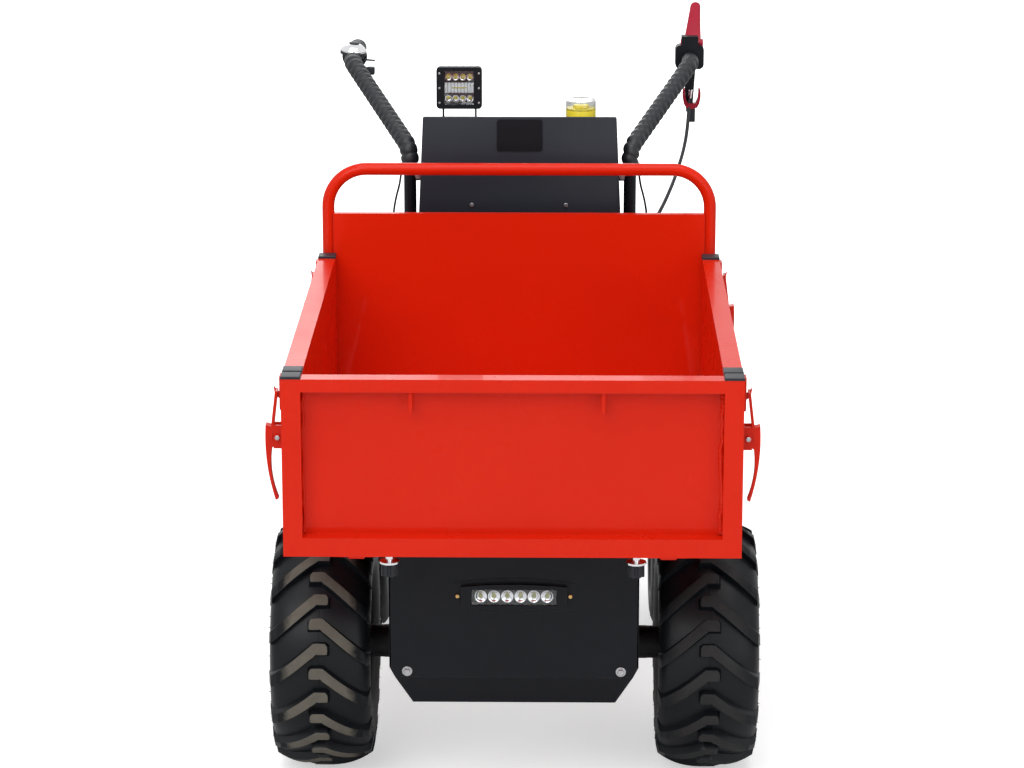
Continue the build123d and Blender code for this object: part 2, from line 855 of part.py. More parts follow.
def make_caster():
    wheel_depth = swivel_depth + caster_trail
    tyre = wheel_tyre(
        caster_radius, caster_width, caster_tread_width, caster_edge_radius, 0,
        caster_rim_radius, caster_rim_width, caster_x, wheel_depth,
    )
    rim = wheel_rim(
        caster_radius, caster_rim_radius, caster_rim_width, caster_hub_radius,
        caster_axle_radius + running_gap, 0, caster_x, wheel_depth,
    )
    inner = caster_width / 2 + fork_gap
    outer = inner + fork_leg
    crown_high = fork_crown_low + fork_crown
    crown_near = swivel_depth - fork_half
    crown_far = swivel_depth + fork_half
    fork = block(caster_x - outer, caster_x + outer, crown_near, crown_far, fork_crown_low, crown_high)
    leg_points = [
        (crown_near, crown_high), (crown_far, crown_high), (wheel_depth + 22, caster_radius),
        (wheel_depth + 14, caster_radius - 18), (wheel_depth - 14, caster_radius - 18),
        (wheel_depth - 26, caster_radius),
    ]
    profile = make_face(Polyline(*[(at(depth), z) for depth, z in leg_points], close=True))
    for x_low in (caster_x - outer, caster_x + inner):
        fork += extrude(Plane.YZ.offset(x_low) * profile, fork_leg)
    fork += bar_x(caster_x - outer - 8, caster_x + outer + 8, wheel_depth, caster_radius, caster_axle_radius)
    head_high = rail_top - member_height - seat_gap
    fork += bar_z(caster_x, swivel_depth, crown_high, head_high, swivel_head_radius)
    fork += bar_z(caster_x, swivel_depth, crown_high, rail_top + 14, kingpin_radius)
    fork += bar_z(caster_x, swivel_depth, rail_top + seat_gap, rail_top + 12, kingpin_radius + 7)
    return fork, tyre, rim


def make_console():
    outline = [
        (-console_half_low, rail_top), (console_half_low, rail_top),
        (console_half_low, console_taper_start), (console_half_top, console_top),
        (-console_half_top, console_top), (-console_half_low, console_taper_start),
    ]
    face = Plane.XZ.offset(-at(console_front)) * make_face(Polyline(*outline, close=True))
    console = extrude(face, -console_depth)
    console = fillet(console.edges().group_by(Axis.Z)[-1].filter_by(Axis.X), console_round)
    rear = console_front + console_depth
    panel_low = rail_top + (console_taper_start - rail_top - access_height) / 2
    console += block(
        -access_width / 2, access_width / 2, rear, rear + access_thickness, panel_low, panel_low + access_height,
    )
    label = block(
        -label_width / 2, label_width / 2, console_front - label_thickness, console_front,
        label_top - label_height, label_top,
    )
    return console, fillet(label.edges().filter_by(Axis.Y), label_corner)


def make_lamp():
    """A work lamp: a square bezel, a finned body behind it and a bracket round its sides."""
    near = lamp_depth - lamp_body_depth / 2
    far = lamp_depth + lamp_body_depth / 2
    low = lamp_centre - lamp_height / 2
    high = lamp_centre + lamp_height / 2
    half = lamp_width / 2
    bezel = block(lamp_x - half, lamp_x + half, near, near + lamp_bezel_depth, low, high)
    bezel = fillet(bezel.edges().filter_by(Axis.Y), lamp_corner)
    core = half - lamp_corner
    body = block(
        lamp_x - core, lamp_x + core, near + lamp_bezel_depth, far - lamp_corner,
        low + lamp_corner, high - lamp_corner,
    )
    step = (2 * core - lamp_fin) / (lamp_fin_count - 1)
    for index in range(lamp_fin_count):
        x = lamp_x - core + index * step
        body += block(x, x + lamp_fin, near + lamp_bezel_depth, far, low + lamp_fin, high - lamp_fin)
    window = lamp_window_width / 2
    window_low = lamp_centre - lamp_window_height / 2
    window_high = lamp_centre + lamp_window_height / 2
    lens_back = near + lamp_bezel_depth / 2
    body += bezel
    body -= block(lamp_x - window, lamp_x + window, near - 1, lens_back, window_low, window_high)
    lens = block(lamp_x - window, lamp_x + window, near + lens_proud, lens_back, window_low, window_high)
    leg = half - lamp_corner - bracket_leg
    depth_low = near + lamp_bezel_depth + seat_gap
    depth_high = depth_low + bracket_width
    bracket = block(
        lamp_x - leg, lamp_x + leg, depth_low, depth_high, console_top, console_top + bracket_leg,
    )
    for x_low in (lamp_x - leg, lamp_x + leg - bracket_leg):
        bracket += block(x_low, x_low + bracket_leg, depth_low, depth_high, console_top, low + lamp_fin)
    return body, lens, bracket


def make_stop_switch():
    """A stop switch: a round base with a tab, its button, and a clear hinged guard over it."""
    base = bar_z(stop_x, stop_depth, console_top, console_top + stop_base_height, stop_base_radius)
    base += block(
        stop_x - stop_tab / 2, stop_x + stop_tab / 2, stop_depth - stop_base_radius - stop_tab / 4, stop_depth,
        console_top, console_top + stop_base_height,
    )
    cap_low = console_top + stop_base_height
    button_high = cap_low + stop_cap_height - 2 * stop_guard_wall
    button = bar_z(stop_x, stop_depth, cap_low, button_high, stop_button_radius)
    cap = bar_z(stop_x, stop_depth, cap_low, cap_low + stop_cap_height, stop_cap_radius)
    cap = fillet(cap.edges().group_by(Axis.Z)[-1], stop_cap_radius / 4)
    inside = stop_cap_radius - stop_guard_wall
    cap -= bar_z(stop_x, stop_depth, cap_low - 1, cap_low + stop_cap_height - stop_guard_wall, inside)
    return base, button, cap


def handle_route():
    """The corners of the right handlebar, as points in the model."""
    flare_depth = overall_length - handle_straight
    return [
        Vector(handle_x, at(handle_depth), rail_top),
        Vector(handle_x, at(handle_depth), handle_bend_height),
        Vector(handle_flare_x, at(flare_depth), handle_flare_height),
        Vector(handle_flare_x, at(overall_length - grip_end_wall), handle_flare_height),
    ]


def swept_ring(path, outer, inner):
    """A tube along a path, solid where its inner radius is zero."""
    start = Plane(origin=path @ 0, z_dir=path % 0)
    section = Circle(outer)
    if inner:
        section -= Circle(inner)
    return sweep(start * section, path=path)


def make_handle():
    path = FilletPolyline(*handle_route(), radius=[handle_low_bend, handle_top_bend])
    tube = swept_ring(path, handle_tube / 2, 0)
    half = handle_tab_thickness / 2
    tab_low = rail_top + handle_tab_rise - handle_tab_height / 2
    tab = block(
        console_half_top, handle_x, handle_depth - half, handle_depth + half, tab_low, tab_low + handle_tab_height,
    )
    tab -= prism(handle_depth, 2 * handle_tab_thickness, [
        (0, rail_top), (console_half_low, rail_top), (console_half_low, console_taper_start),
        (console_half_top, console_top), (0, console_top),
    ])
    return tube + tab


def make_sleeve():
    """A soft sleeve round the handlebar's low bend."""
    low, bend, flare = handle_route()[:3]
    away = (bend - flare).normalized()
    points = [bend - Vector(0, 0, sleeve_low_run), bend, flare + away * sleeve_top_run]
    path = FilletPolyline(*points, radius=handle_low_bend)
    return swept_ring(path, sleeve_diameter / 2, handle_tube / 2 + running_gap)


def make_grip():
    near = overall_length - grip_length
    z = handle_flare_height
    grip = bar_y(handle_flare_x, near, overall_length, z, grip_diameter / 2)
    grip = fillet(grip.edges().group_by(Axis.Y)[-1], grip_end_wall)
    grip += bar_y(handle_flare_x, near, near + grip_flange_thickness, z, grip_flange / 2)
    bore = handle_tube / 2 + running_gap
    return grip - bar_y(handle_flare_x, near - 1, overall_length - grip_end_wall, z, bore)


def make_lever_clamp():
    """The clamp on the right handlebar that carries the release lever and its arm."""
    far = overall_length - grip_length - seat_gap
    near = far - clamp_length
    x = handle_flare_x
    z = handle_flare_height
    clamp = block(x - clamp_width / 2, x + clamp_width / 2, near, far, z - clamp_low, z + clamp_high)
    clamp = fillet(clamp.edges().filter_by(Axis.Y), clamp_low / 2)
    boss = clamp_boss_width / 2
    clamp += block(x - boss, x + boss, near, far, z, z + clamp_high + clamp_boss_height)
    arm_high = z - clamp_low / 2
    arm = prism(0, arm_thickness, [
        (x - arm_width / 2, arm_high), (x + arm_width / 2, arm_high),
        (x + arm_tip_width / 2, arm_high - arm_length), (x - arm_tip_width / 2, arm_high - arm_length),
    ])
    clamp += Pos(0, near - arm_thickness / 2, 0) * arm
    return clamp - bar_y(x, near - 2 * arm_thickness, far + 1, z, handle_tube / 2 + running_gap)


def make_release_lever():
    """The tapered thumb lever above the clamp, and the fork below that pulls the cable."""
    far = overall_length - grip_length - seat_gap
    near = far - clamp_length
    x = handle_flare_x
    pivot_z = handle_flare_height + clamp_high + clamp_boss_height + lever_thickness
    outline = Polyline(
        (-lever_base_width / 2, 0), (-lever_tip_width / 2, lever_length - lever_tip_width / 2),
    )
    outline += ThreePointArc(
        (-lever_tip_width / 2, lever_length - lever_tip_width / 2), (0, lever_length),
        (lever_tip_width / 2, lever_length - lever_tip_width / 2),
    )
    outline += Polyline(
        (lever_tip_width / 2, lever_length - lever_tip_width / 2), (lever_base_width / 2, 0),
        (-lever_base_width / 2, 0),
    )
    blade = extrude(make_face(outline), lever_thickness)
    blade = chamfer(blade.edges().group_by(Axis.Z)[-1], lever_thickness / 4)
    lever = Pos(x, at(near + 4), pivot_z - lever_thickness) * Rot(lever_tilt, 0, -lever_lean) * blade
    side = clamp_boss_width / 2 + running_gap
    low = handle_flare_height + clamp_high
    for x_low in (x - side - fork_wall, x + side):
        lever += block(x_low, x_low + fork_wall, near, far, low, pivot_z)
    lever += bar_x(x - side - fork_wall, x + side + fork_wall, near + clamp_length / 2, pivot_z - fork_wall, fork_wall)
    fork_high = handle_flare_height - clamp_low - fork_drop
    fork_far = near - arm_thickness
    fork = block(
        x - fork_width / 2, x + fork_width / 2, fork_far - fork_depth, fork_far,
        fork_high - fork_height, fork_high,
    )
    fork -= block(
        x - fork_width / 2 + fork_wall, x + fork_width / 2 - fork_wall, fork_far - fork_depth - 1,
        fork_far - fork_wall, fork_high - fork_height - 1, fork_high - fork_wall,
    )
    fork += bar_x(
        x - fork_width / 2, x + fork_width / 2, fork_far - fork_depth / 2, fork_high - fork_height / 2,
        barrel_radius,
    )
    return Compound(children=[lever, fork])


def make_bell():
    """The bell on the left handlebar, drawn on the right one and mirrored."""
    far = overall_length - grip_length - seat_gap
    near = far - clamp_length
    x = handle_flare_x
    z = handle_flare_height
    centre = far - bell_base_diameter / 2
    seat_high = z + bell_seat_rise
    base = bar_y(x, near, far, z, bell_collar_radius)
    base += bar_z(x, centre, seat_high - bell_plate, seat_high, bell_base_diameter / 2)
    base += block(x - bell_plate, x + bell_plate, near, far, z, seat_high)
    base -= bar_y(x, near - 1, far + 1, z, handle_tube / 2 + running_gap)
    dome = bar_z(x, centre, seat_high, seat_high + bell_height, bell_diameter / 2)
    dome = fillet(dome.edges().group_by(Axis.Z)[-1], bell_height - bell_plate / 2)
    return base, dome


def release_route():
    """The release cable, from the fork's barrel to the catch under the tray."""
    fork_far = overall_length - grip_length - seat_gap - clamp_length - arm_thickness
    barrel_depth = fork_far - fork_depth / 2
    barrel_low = handle_flare_height - clamp_low - fork_drop - fork_height / 2 - barrel_radius
    anchor_depth = catch_depth + (member_width - catch_base) / 2
    anchor_high = rail_top + catch_pawl_rise
    return [
        (handle_flare_x, barrel_depth, barrel_low - seat_gap), (304.0, 1222.0, 905.0), (296.0, 1180.0, 872.0),
        (284.0, 1132.0, 845.0), (270.0, 1080.0, 820.0), (248.0, 1020.0, 787.0),
        (215.0, 972.0, 745.0), (170.0, 936.0, 690.0), (118.0, 922.0, 620.0),
        (64.0, 920.0, 552.0), (12.0, 919.0, 512.0), (0.0, anchor_depth, anchor_high + seat_gap),
    ]


def lead_route():
    """A switch lead, from the sleeve's low end into the console's side."""
    sleeve_end = handle_bend_height - sleeve_low_run
    return [
        (handle_x + sleeve_diameter / 2 - lead_diameter / 2, handle_depth, sleeve_end),
        (210.0, 1002.0, 850.0), (221.0, 1008.0, 812.0), (226.0, 1014.0, 775.0),
        (215.0, 1020.0, 732.0), (194.0, 1024.0, 702.0), (console_half_low, 1026.0, 694.0),
    ]


gate, gate_caps = make_gate()
save("front_gate", gate)
save("gate_caps", gate_caps)

side, side_caps = make_side()
front_latch = make_latch(side_front + panel_tube / 2)
rear_latch = make_latch(side_rear - panel_tube / 2)
latches = Compound(children=[front_latch, rear_latch])
for name, side_sign in (("right", 1), ("left", -1)):
    save(f"side_{name}", side_of(side, side_sign))
    save(f"side_caps_{name}", side_of(side_caps, side_sign))
    save(f"latches_{name}", side_of(latches, side_sign))

floor, floor_rails, floor_members = make_floor()
save("tray_floor", floor)
save("tray_long_rails", floor_rails)
save("tray_cross_rails", floor_members)
save("tray_hinges", make_frame_hinges())
save("tray_pivot_lugs", make_tip_lugs())
save("tray_striker", make_striker())
save("headboard", make_headboard())
screws, knobs = make_hand_screws()
save("hand_screws", screws)
save("screw_knobs", knobs)

save("chassis_rails", make_chassis_rails())
save("chassis_members", make_members())
save("caster_outriggers", make_outriggers())
save("axle_hangers", make_hangers())
save("rest_pads", make_rest_pads())
save("front_cover", make_cover())
light_bar, light_lens = make_light_bar()
save("light_bar", light_bar)
save("light_bar_lens", light_lens)
save("battery_case", block(
    -rail_inner, rail_inner, battery_front, battery_front + battery_length, battery_low, battery_high,
))
save("drive_axle", make_axle())
save("drive_motor", make_motor())

drive_tyre, drive_rim = make_drive_wheel()
caster_fork, caster_tyre, caster_rim = make_caster()
handle = make_handle()
grip = make_grip()
sleeve = make_sleeve()
lead = cord("switch lead", lead_route(), lead_diameter)
for name, side_sign in (("right", 1), ("left", -1)):
    save(f"drive_tyre_{name}", side_of(drive_tyre, side_sign))
    save(f"drive_rim_{name}", side_of(drive_rim, side_sign))
    save(f"caster_fork_{name}", side_of(caster_fork, side_sign))
    save(f"caster_tyre_{name}", side_of(caster_tyre, side_sign))
    save(f"caster_rim_{name}", side_of(caster_rim, side_sign))
    save(f"handle_{name}", side_of(handle, side_sign))
    save(f"grip_{name}", side_of(grip, side_sign))
    save(f"sleeve_{name}", side_of(sleeve, side_sign))
    save(f"switch_lead_{name}", side_of(lead, side_sign))

console, label = make_console()
save("console", console)
save("console_plate", label)
lamp, lamp_lens, lamp_bracket = make_lamp()
save("work_lamp", lamp)
save("work_lamp_lens", lamp_lens)
save("lamp_bracket", lamp_bracket)
stop_base, stop_button, stop_cap = make_stop_switch()
save("stop_switch", stop_base)
save("stop_button", stop_button)
save("stop_switch_cover", stop_cap)

save("tray_catch", make_catch())
save("lever_clamp", make_lever_clamp())
save("release_lever", make_release_lever())
save("release_cable", cord("release cable", release_route(), release_cable_diameter))
bell_base, bell_dome = make_bell()
save("bell_base", mirrored(bell_base))
save("bell_dome", mirrored(bell_dome))
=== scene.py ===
import bpy
import bmesh
import json
import math
import random
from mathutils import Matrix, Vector


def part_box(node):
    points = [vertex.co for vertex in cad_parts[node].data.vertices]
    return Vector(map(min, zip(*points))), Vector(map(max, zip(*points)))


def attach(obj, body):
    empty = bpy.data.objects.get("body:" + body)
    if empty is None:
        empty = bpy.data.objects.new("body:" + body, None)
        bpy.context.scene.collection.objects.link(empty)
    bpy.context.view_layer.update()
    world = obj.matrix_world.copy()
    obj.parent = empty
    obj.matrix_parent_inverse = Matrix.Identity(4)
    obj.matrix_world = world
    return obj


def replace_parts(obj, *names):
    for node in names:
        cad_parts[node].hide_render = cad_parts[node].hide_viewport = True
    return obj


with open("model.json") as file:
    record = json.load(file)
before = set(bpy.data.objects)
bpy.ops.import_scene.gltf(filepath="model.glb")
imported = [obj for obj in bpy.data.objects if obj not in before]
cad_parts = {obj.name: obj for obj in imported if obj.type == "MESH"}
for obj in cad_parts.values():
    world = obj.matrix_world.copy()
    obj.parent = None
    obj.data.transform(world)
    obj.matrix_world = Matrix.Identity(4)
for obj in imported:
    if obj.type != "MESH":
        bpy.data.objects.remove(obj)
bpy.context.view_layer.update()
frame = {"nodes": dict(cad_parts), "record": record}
nodes = frame["nodes"]
print("frame loaded:", len(nodes), "nodes")

# Camera, at the photograph's place and angle

cameraSet = {
    "place": (0.064, -5.4296, 2.013),
    "tilt": 75.0,
    "turn": 0.78,
    "lens": 116.26,
    "sensor": 36.0,
}


def addCamera(values):
    data = bpy.data.cameras.new("photoCamera")
    data.lens = values["lens"]
    data.sensor_width = values["sensor"]
    camera = bpy.data.objects.new("photoCamera", data)
    camera.location = values["place"]
    camera.rotation_euler = (math.radians(values["tilt"]), 0.0, math.radians(values["turn"]))
    bpy.context.scene.collection.objects.link(camera)
    bpy.context.scene.camera = camera


addCamera(cameraSet)
bpy.context.scene.view_settings.view_transform = "Standard"
print("camera ready")


# Shader helpers

def addNode(tree, kind, values=None, **settings):
    node = tree.nodes.new(kind)
    for name, value in settings.items():
        setattr(node, name, value)
    for name, value in (values or {}).items():
        if isinstance(value, bpy.types.NodeSocket):
            tree.links.new(value, node.inputs[name])
        else:
            node.inputs[name].default_value = value
    return node


def mathNode(tree, operation, first, second=0.0, clamp=False):
    node = addNode(tree, "ShaderNodeMath", {0: first, 1: second}, operation=operation, use_clamp=clamp)
    return node.outputs[0]


def ramp(tree, value, start, gain):
    return mathNode(tree, "MULTIPLY", mathNode(tree, "SUBTRACT", value, start), gain, True)


def mixColour(tree, factor, first, second, blend="MIX"):
    node = addNode(tree, "ShaderNodeMix", data_type="RGBA", blend_type=blend)
    for index, value in ((0, factor), (6, first), (7, second)):
        if isinstance(value, bpy.types.NodeSocket):
            tree.links.new(value, node.inputs[index])
        else:
            node.inputs[index].default_value = value
    return node.outputs[2]


def makeGroup(name, inputs, outputs):
    tree = bpy.data.node_groups.new(name, "ShaderNodeTree")
    for label, default in inputs.items():
        kind = "NodeSocketColor" if isinstance(default, tuple) else "NodeSocketFloat"
        socket = tree.interface.new_socket(label, in_out="INPUT", socket_type=kind)
        socket.default_value = default
    for label in outputs:
        tree.interface.new_socket(label, in_out="OUTPUT", socket_type="NodeSocketFloat")
    return tree, tree.nodes.new("NodeGroupInput"), tree.nodes.new("NodeGroupOutput")


def useGroup(tree, group, **values):
    node = addNode(tree, "ShaderNodeGroup", node_tree=group)
    for name, value in values.items():
        node.inputs[name].default_value = value
    return node


def objectNoise(tree, scale, detail=2.0, rough=0.5, stretch=None):
    place = addNode(tree, "ShaderNodeTexCoord").outputs["Object"]
    if stretch:
        place = addNode(tree, "ShaderNodeMapping", {"Vector": place, "Scale": stretch}).outputs[0]
    values = {"Vector": place, "Scale": scale, "Detail": detail, "Roughness": rough}
    return addNode(tree, "ShaderNodeTexNoise", values).outputs["Fac"]


# Surface groups that several finishes share

def makeEdgeWear(edgeGain=6.0, breakStart=0.42, breakGain=5.0):
    tree, given, result = makeGroup("edgeWear", {"Radius": 0.002, "Scale": 60.0, "Amount": 0.5}, ["Mask"])
    normal = addNode(tree, "ShaderNodeNewGeometry").outputs["Normal"]
    rounded = addNode(tree, "ShaderNodeBevel", {"Radius": given.outputs["Radius"]}, samples=4).outputs[0]
    dot = addNode(tree, "ShaderNodeVectorMath", {0: normal, 1: rounded}, operation="DOT_PRODUCT")
    bent = mathNode(tree, "SUBTRACT", 1.0, dot.outputs["Value"])
    edge = mathNode(tree, "MULTIPLY", bent, edgeGain, True)
    broken = ramp(tree, objectNoise(tree, given.outputs["Scale"], 4.0, 0.6), breakStart, breakGain)
    worn = mathNode(tree, "MULTIPLY", edge, broken)
    tree.links.new(mathNode(tree, "MULTIPLY", worn, given.outputs["Amount"]), result.inputs["Mask"])
    return tree


def makeSkin():
    tree, given, result = makeGroup("paintSkin", {"Scale": 400.0, "Patch": 6.0}, ["Height", "Tone"])
    fine = objectNoise(tree, given.outputs["Scale"], 1.5)
    tree.links.new(fine, result.inputs["Height"])
    tree.links.new(objectNoise(tree, given.outputs["Patch"], 3.0, 0.6), result.inputs["Tone"])
    return tree


def makeGrain():
    tree, given, result = makeGroup("mouldGrain", {"Scale": 900.0, "Patch": 9.0}, ["Height", "Tone"])
    place = addNode(tree, "ShaderNodeTexCoord").outputs["Object"]
    cells = addNode(tree, "ShaderNodeTexVoronoi", {"Vector": place, "Scale": given.outputs["Scale"]})
    tree.links.new(cells.outputs["Distance"], result.inputs["Height"])
    tree.links.new(objectNoise(tree, given.outputs["Patch"], 4.0, 0.65), result.inputs["Tone"])
    return tree


def makeDust(cloudStart=0.38, cloudGain=2.6):
    tree, given, result = makeGroup("settledDust", {"Scale": 14.0, "Amount": 0.3, "Lift": 0.4}, ["Mask"])
    normal = addNode(tree, "ShaderNodeNewGeometry").outputs["Normal"]
    upward = addNode(tree, "ShaderNodeSeparateXYZ", {0: normal}).outputs["Z"]
    upward = mathNode(tree, "ADD", upward, given.outputs["Lift"], True)
    cloud = ramp(tree, objectNoise(tree, given.outputs["Scale"], 6.0, 0.7), cloudStart, cloudGain)
    dusty = mathNode(tree, "MULTIPLY", upward, cloud)
    tree.links.new(mathNode(tree, "MULTIPLY", dusty, given.outputs["Amount"]), result.inputs["Mask"])
    return tree


# How far a point is from a drive tyre's middle plane, with a ragged edge
def makeTreadReach(raggedScale=45.0, ragged=0.03):
    tree, given, result = makeGroup("treadReach", {"From": 0.045, "To": 0.06, "Centre": 0.31}, ["Mask"])
    place = addNode(tree, "ShaderNodeTexCoord").outputs["Object"]
    across = addNode(tree, "ShaderNodeSeparateXYZ", {0: place}).outputs["X"]
    across = mathNode(tree, "SUBTRACT", mathNode(tree, "ABSOLUTE", across), given.outputs["Centre"])
    stray = mathNode(tree, "SUBTRACT", objectNoise(tree, raggedScale, 4.0, 0.7), 0.5)
    stray = mathNode(tree, "MULTIPLY", stray, ragged)
    across = mathNode(tree, "ADD", mathNode(tree, "ABSOLUTE", across), stray)
    past = mathNode(tree, "SUBTRACT", across, given.outputs["From"])
    span = mathNode(tree, "SUBTRACT", given.outputs["To"], given.outputs["From"])
    tree.links.new(mathNode(tree, "DIVIDE", past, span, True), result.inputs["Mask"])
    return tree


edgeWear = makeEdgeWear()
treadReach = makeTreadReach()
paintSkin = makeSkin()
mouldGrain = makeGrain()
settledDust = makeDust()

# Looks that two finishes share

darkPaint = {
    "coat": 0.02, "coatRough": 0.2, "skin": paintSkin, "skinScale": 420.0, "bump": 0.12,
    "bumpDepth": 0.0004, "wear": 0.3, "wearRadius": 0.0012,
}
lugLook = {
    "skin": mouldGrain, "skinScale": 600.0, "bump": 0.3, "bumpDepth": 0.0004, "wear": 0.4,
    "wearRadius": 0.0015, "dust": 0.25, "patch": 16.0, "shadeAmount": 0.8,
    "fadeColour": (0.0090, 0.0100, 0.0115),
}
diodeLook = {
    "rough": 0.12, "roughSpread": 0.05, "coat": 0.6, "skin": paintSkin, "skinScale": 900.0, "bump": 0.03,
    "bumpDepth": 0.0001, "wear": 0.0, "wearRadius": 0.0005, "dust": 0.02, "patch": 40.0,
    "shadeAmount": 0.4,
}

# Finishes: each has its own values, and one function turns them into a material

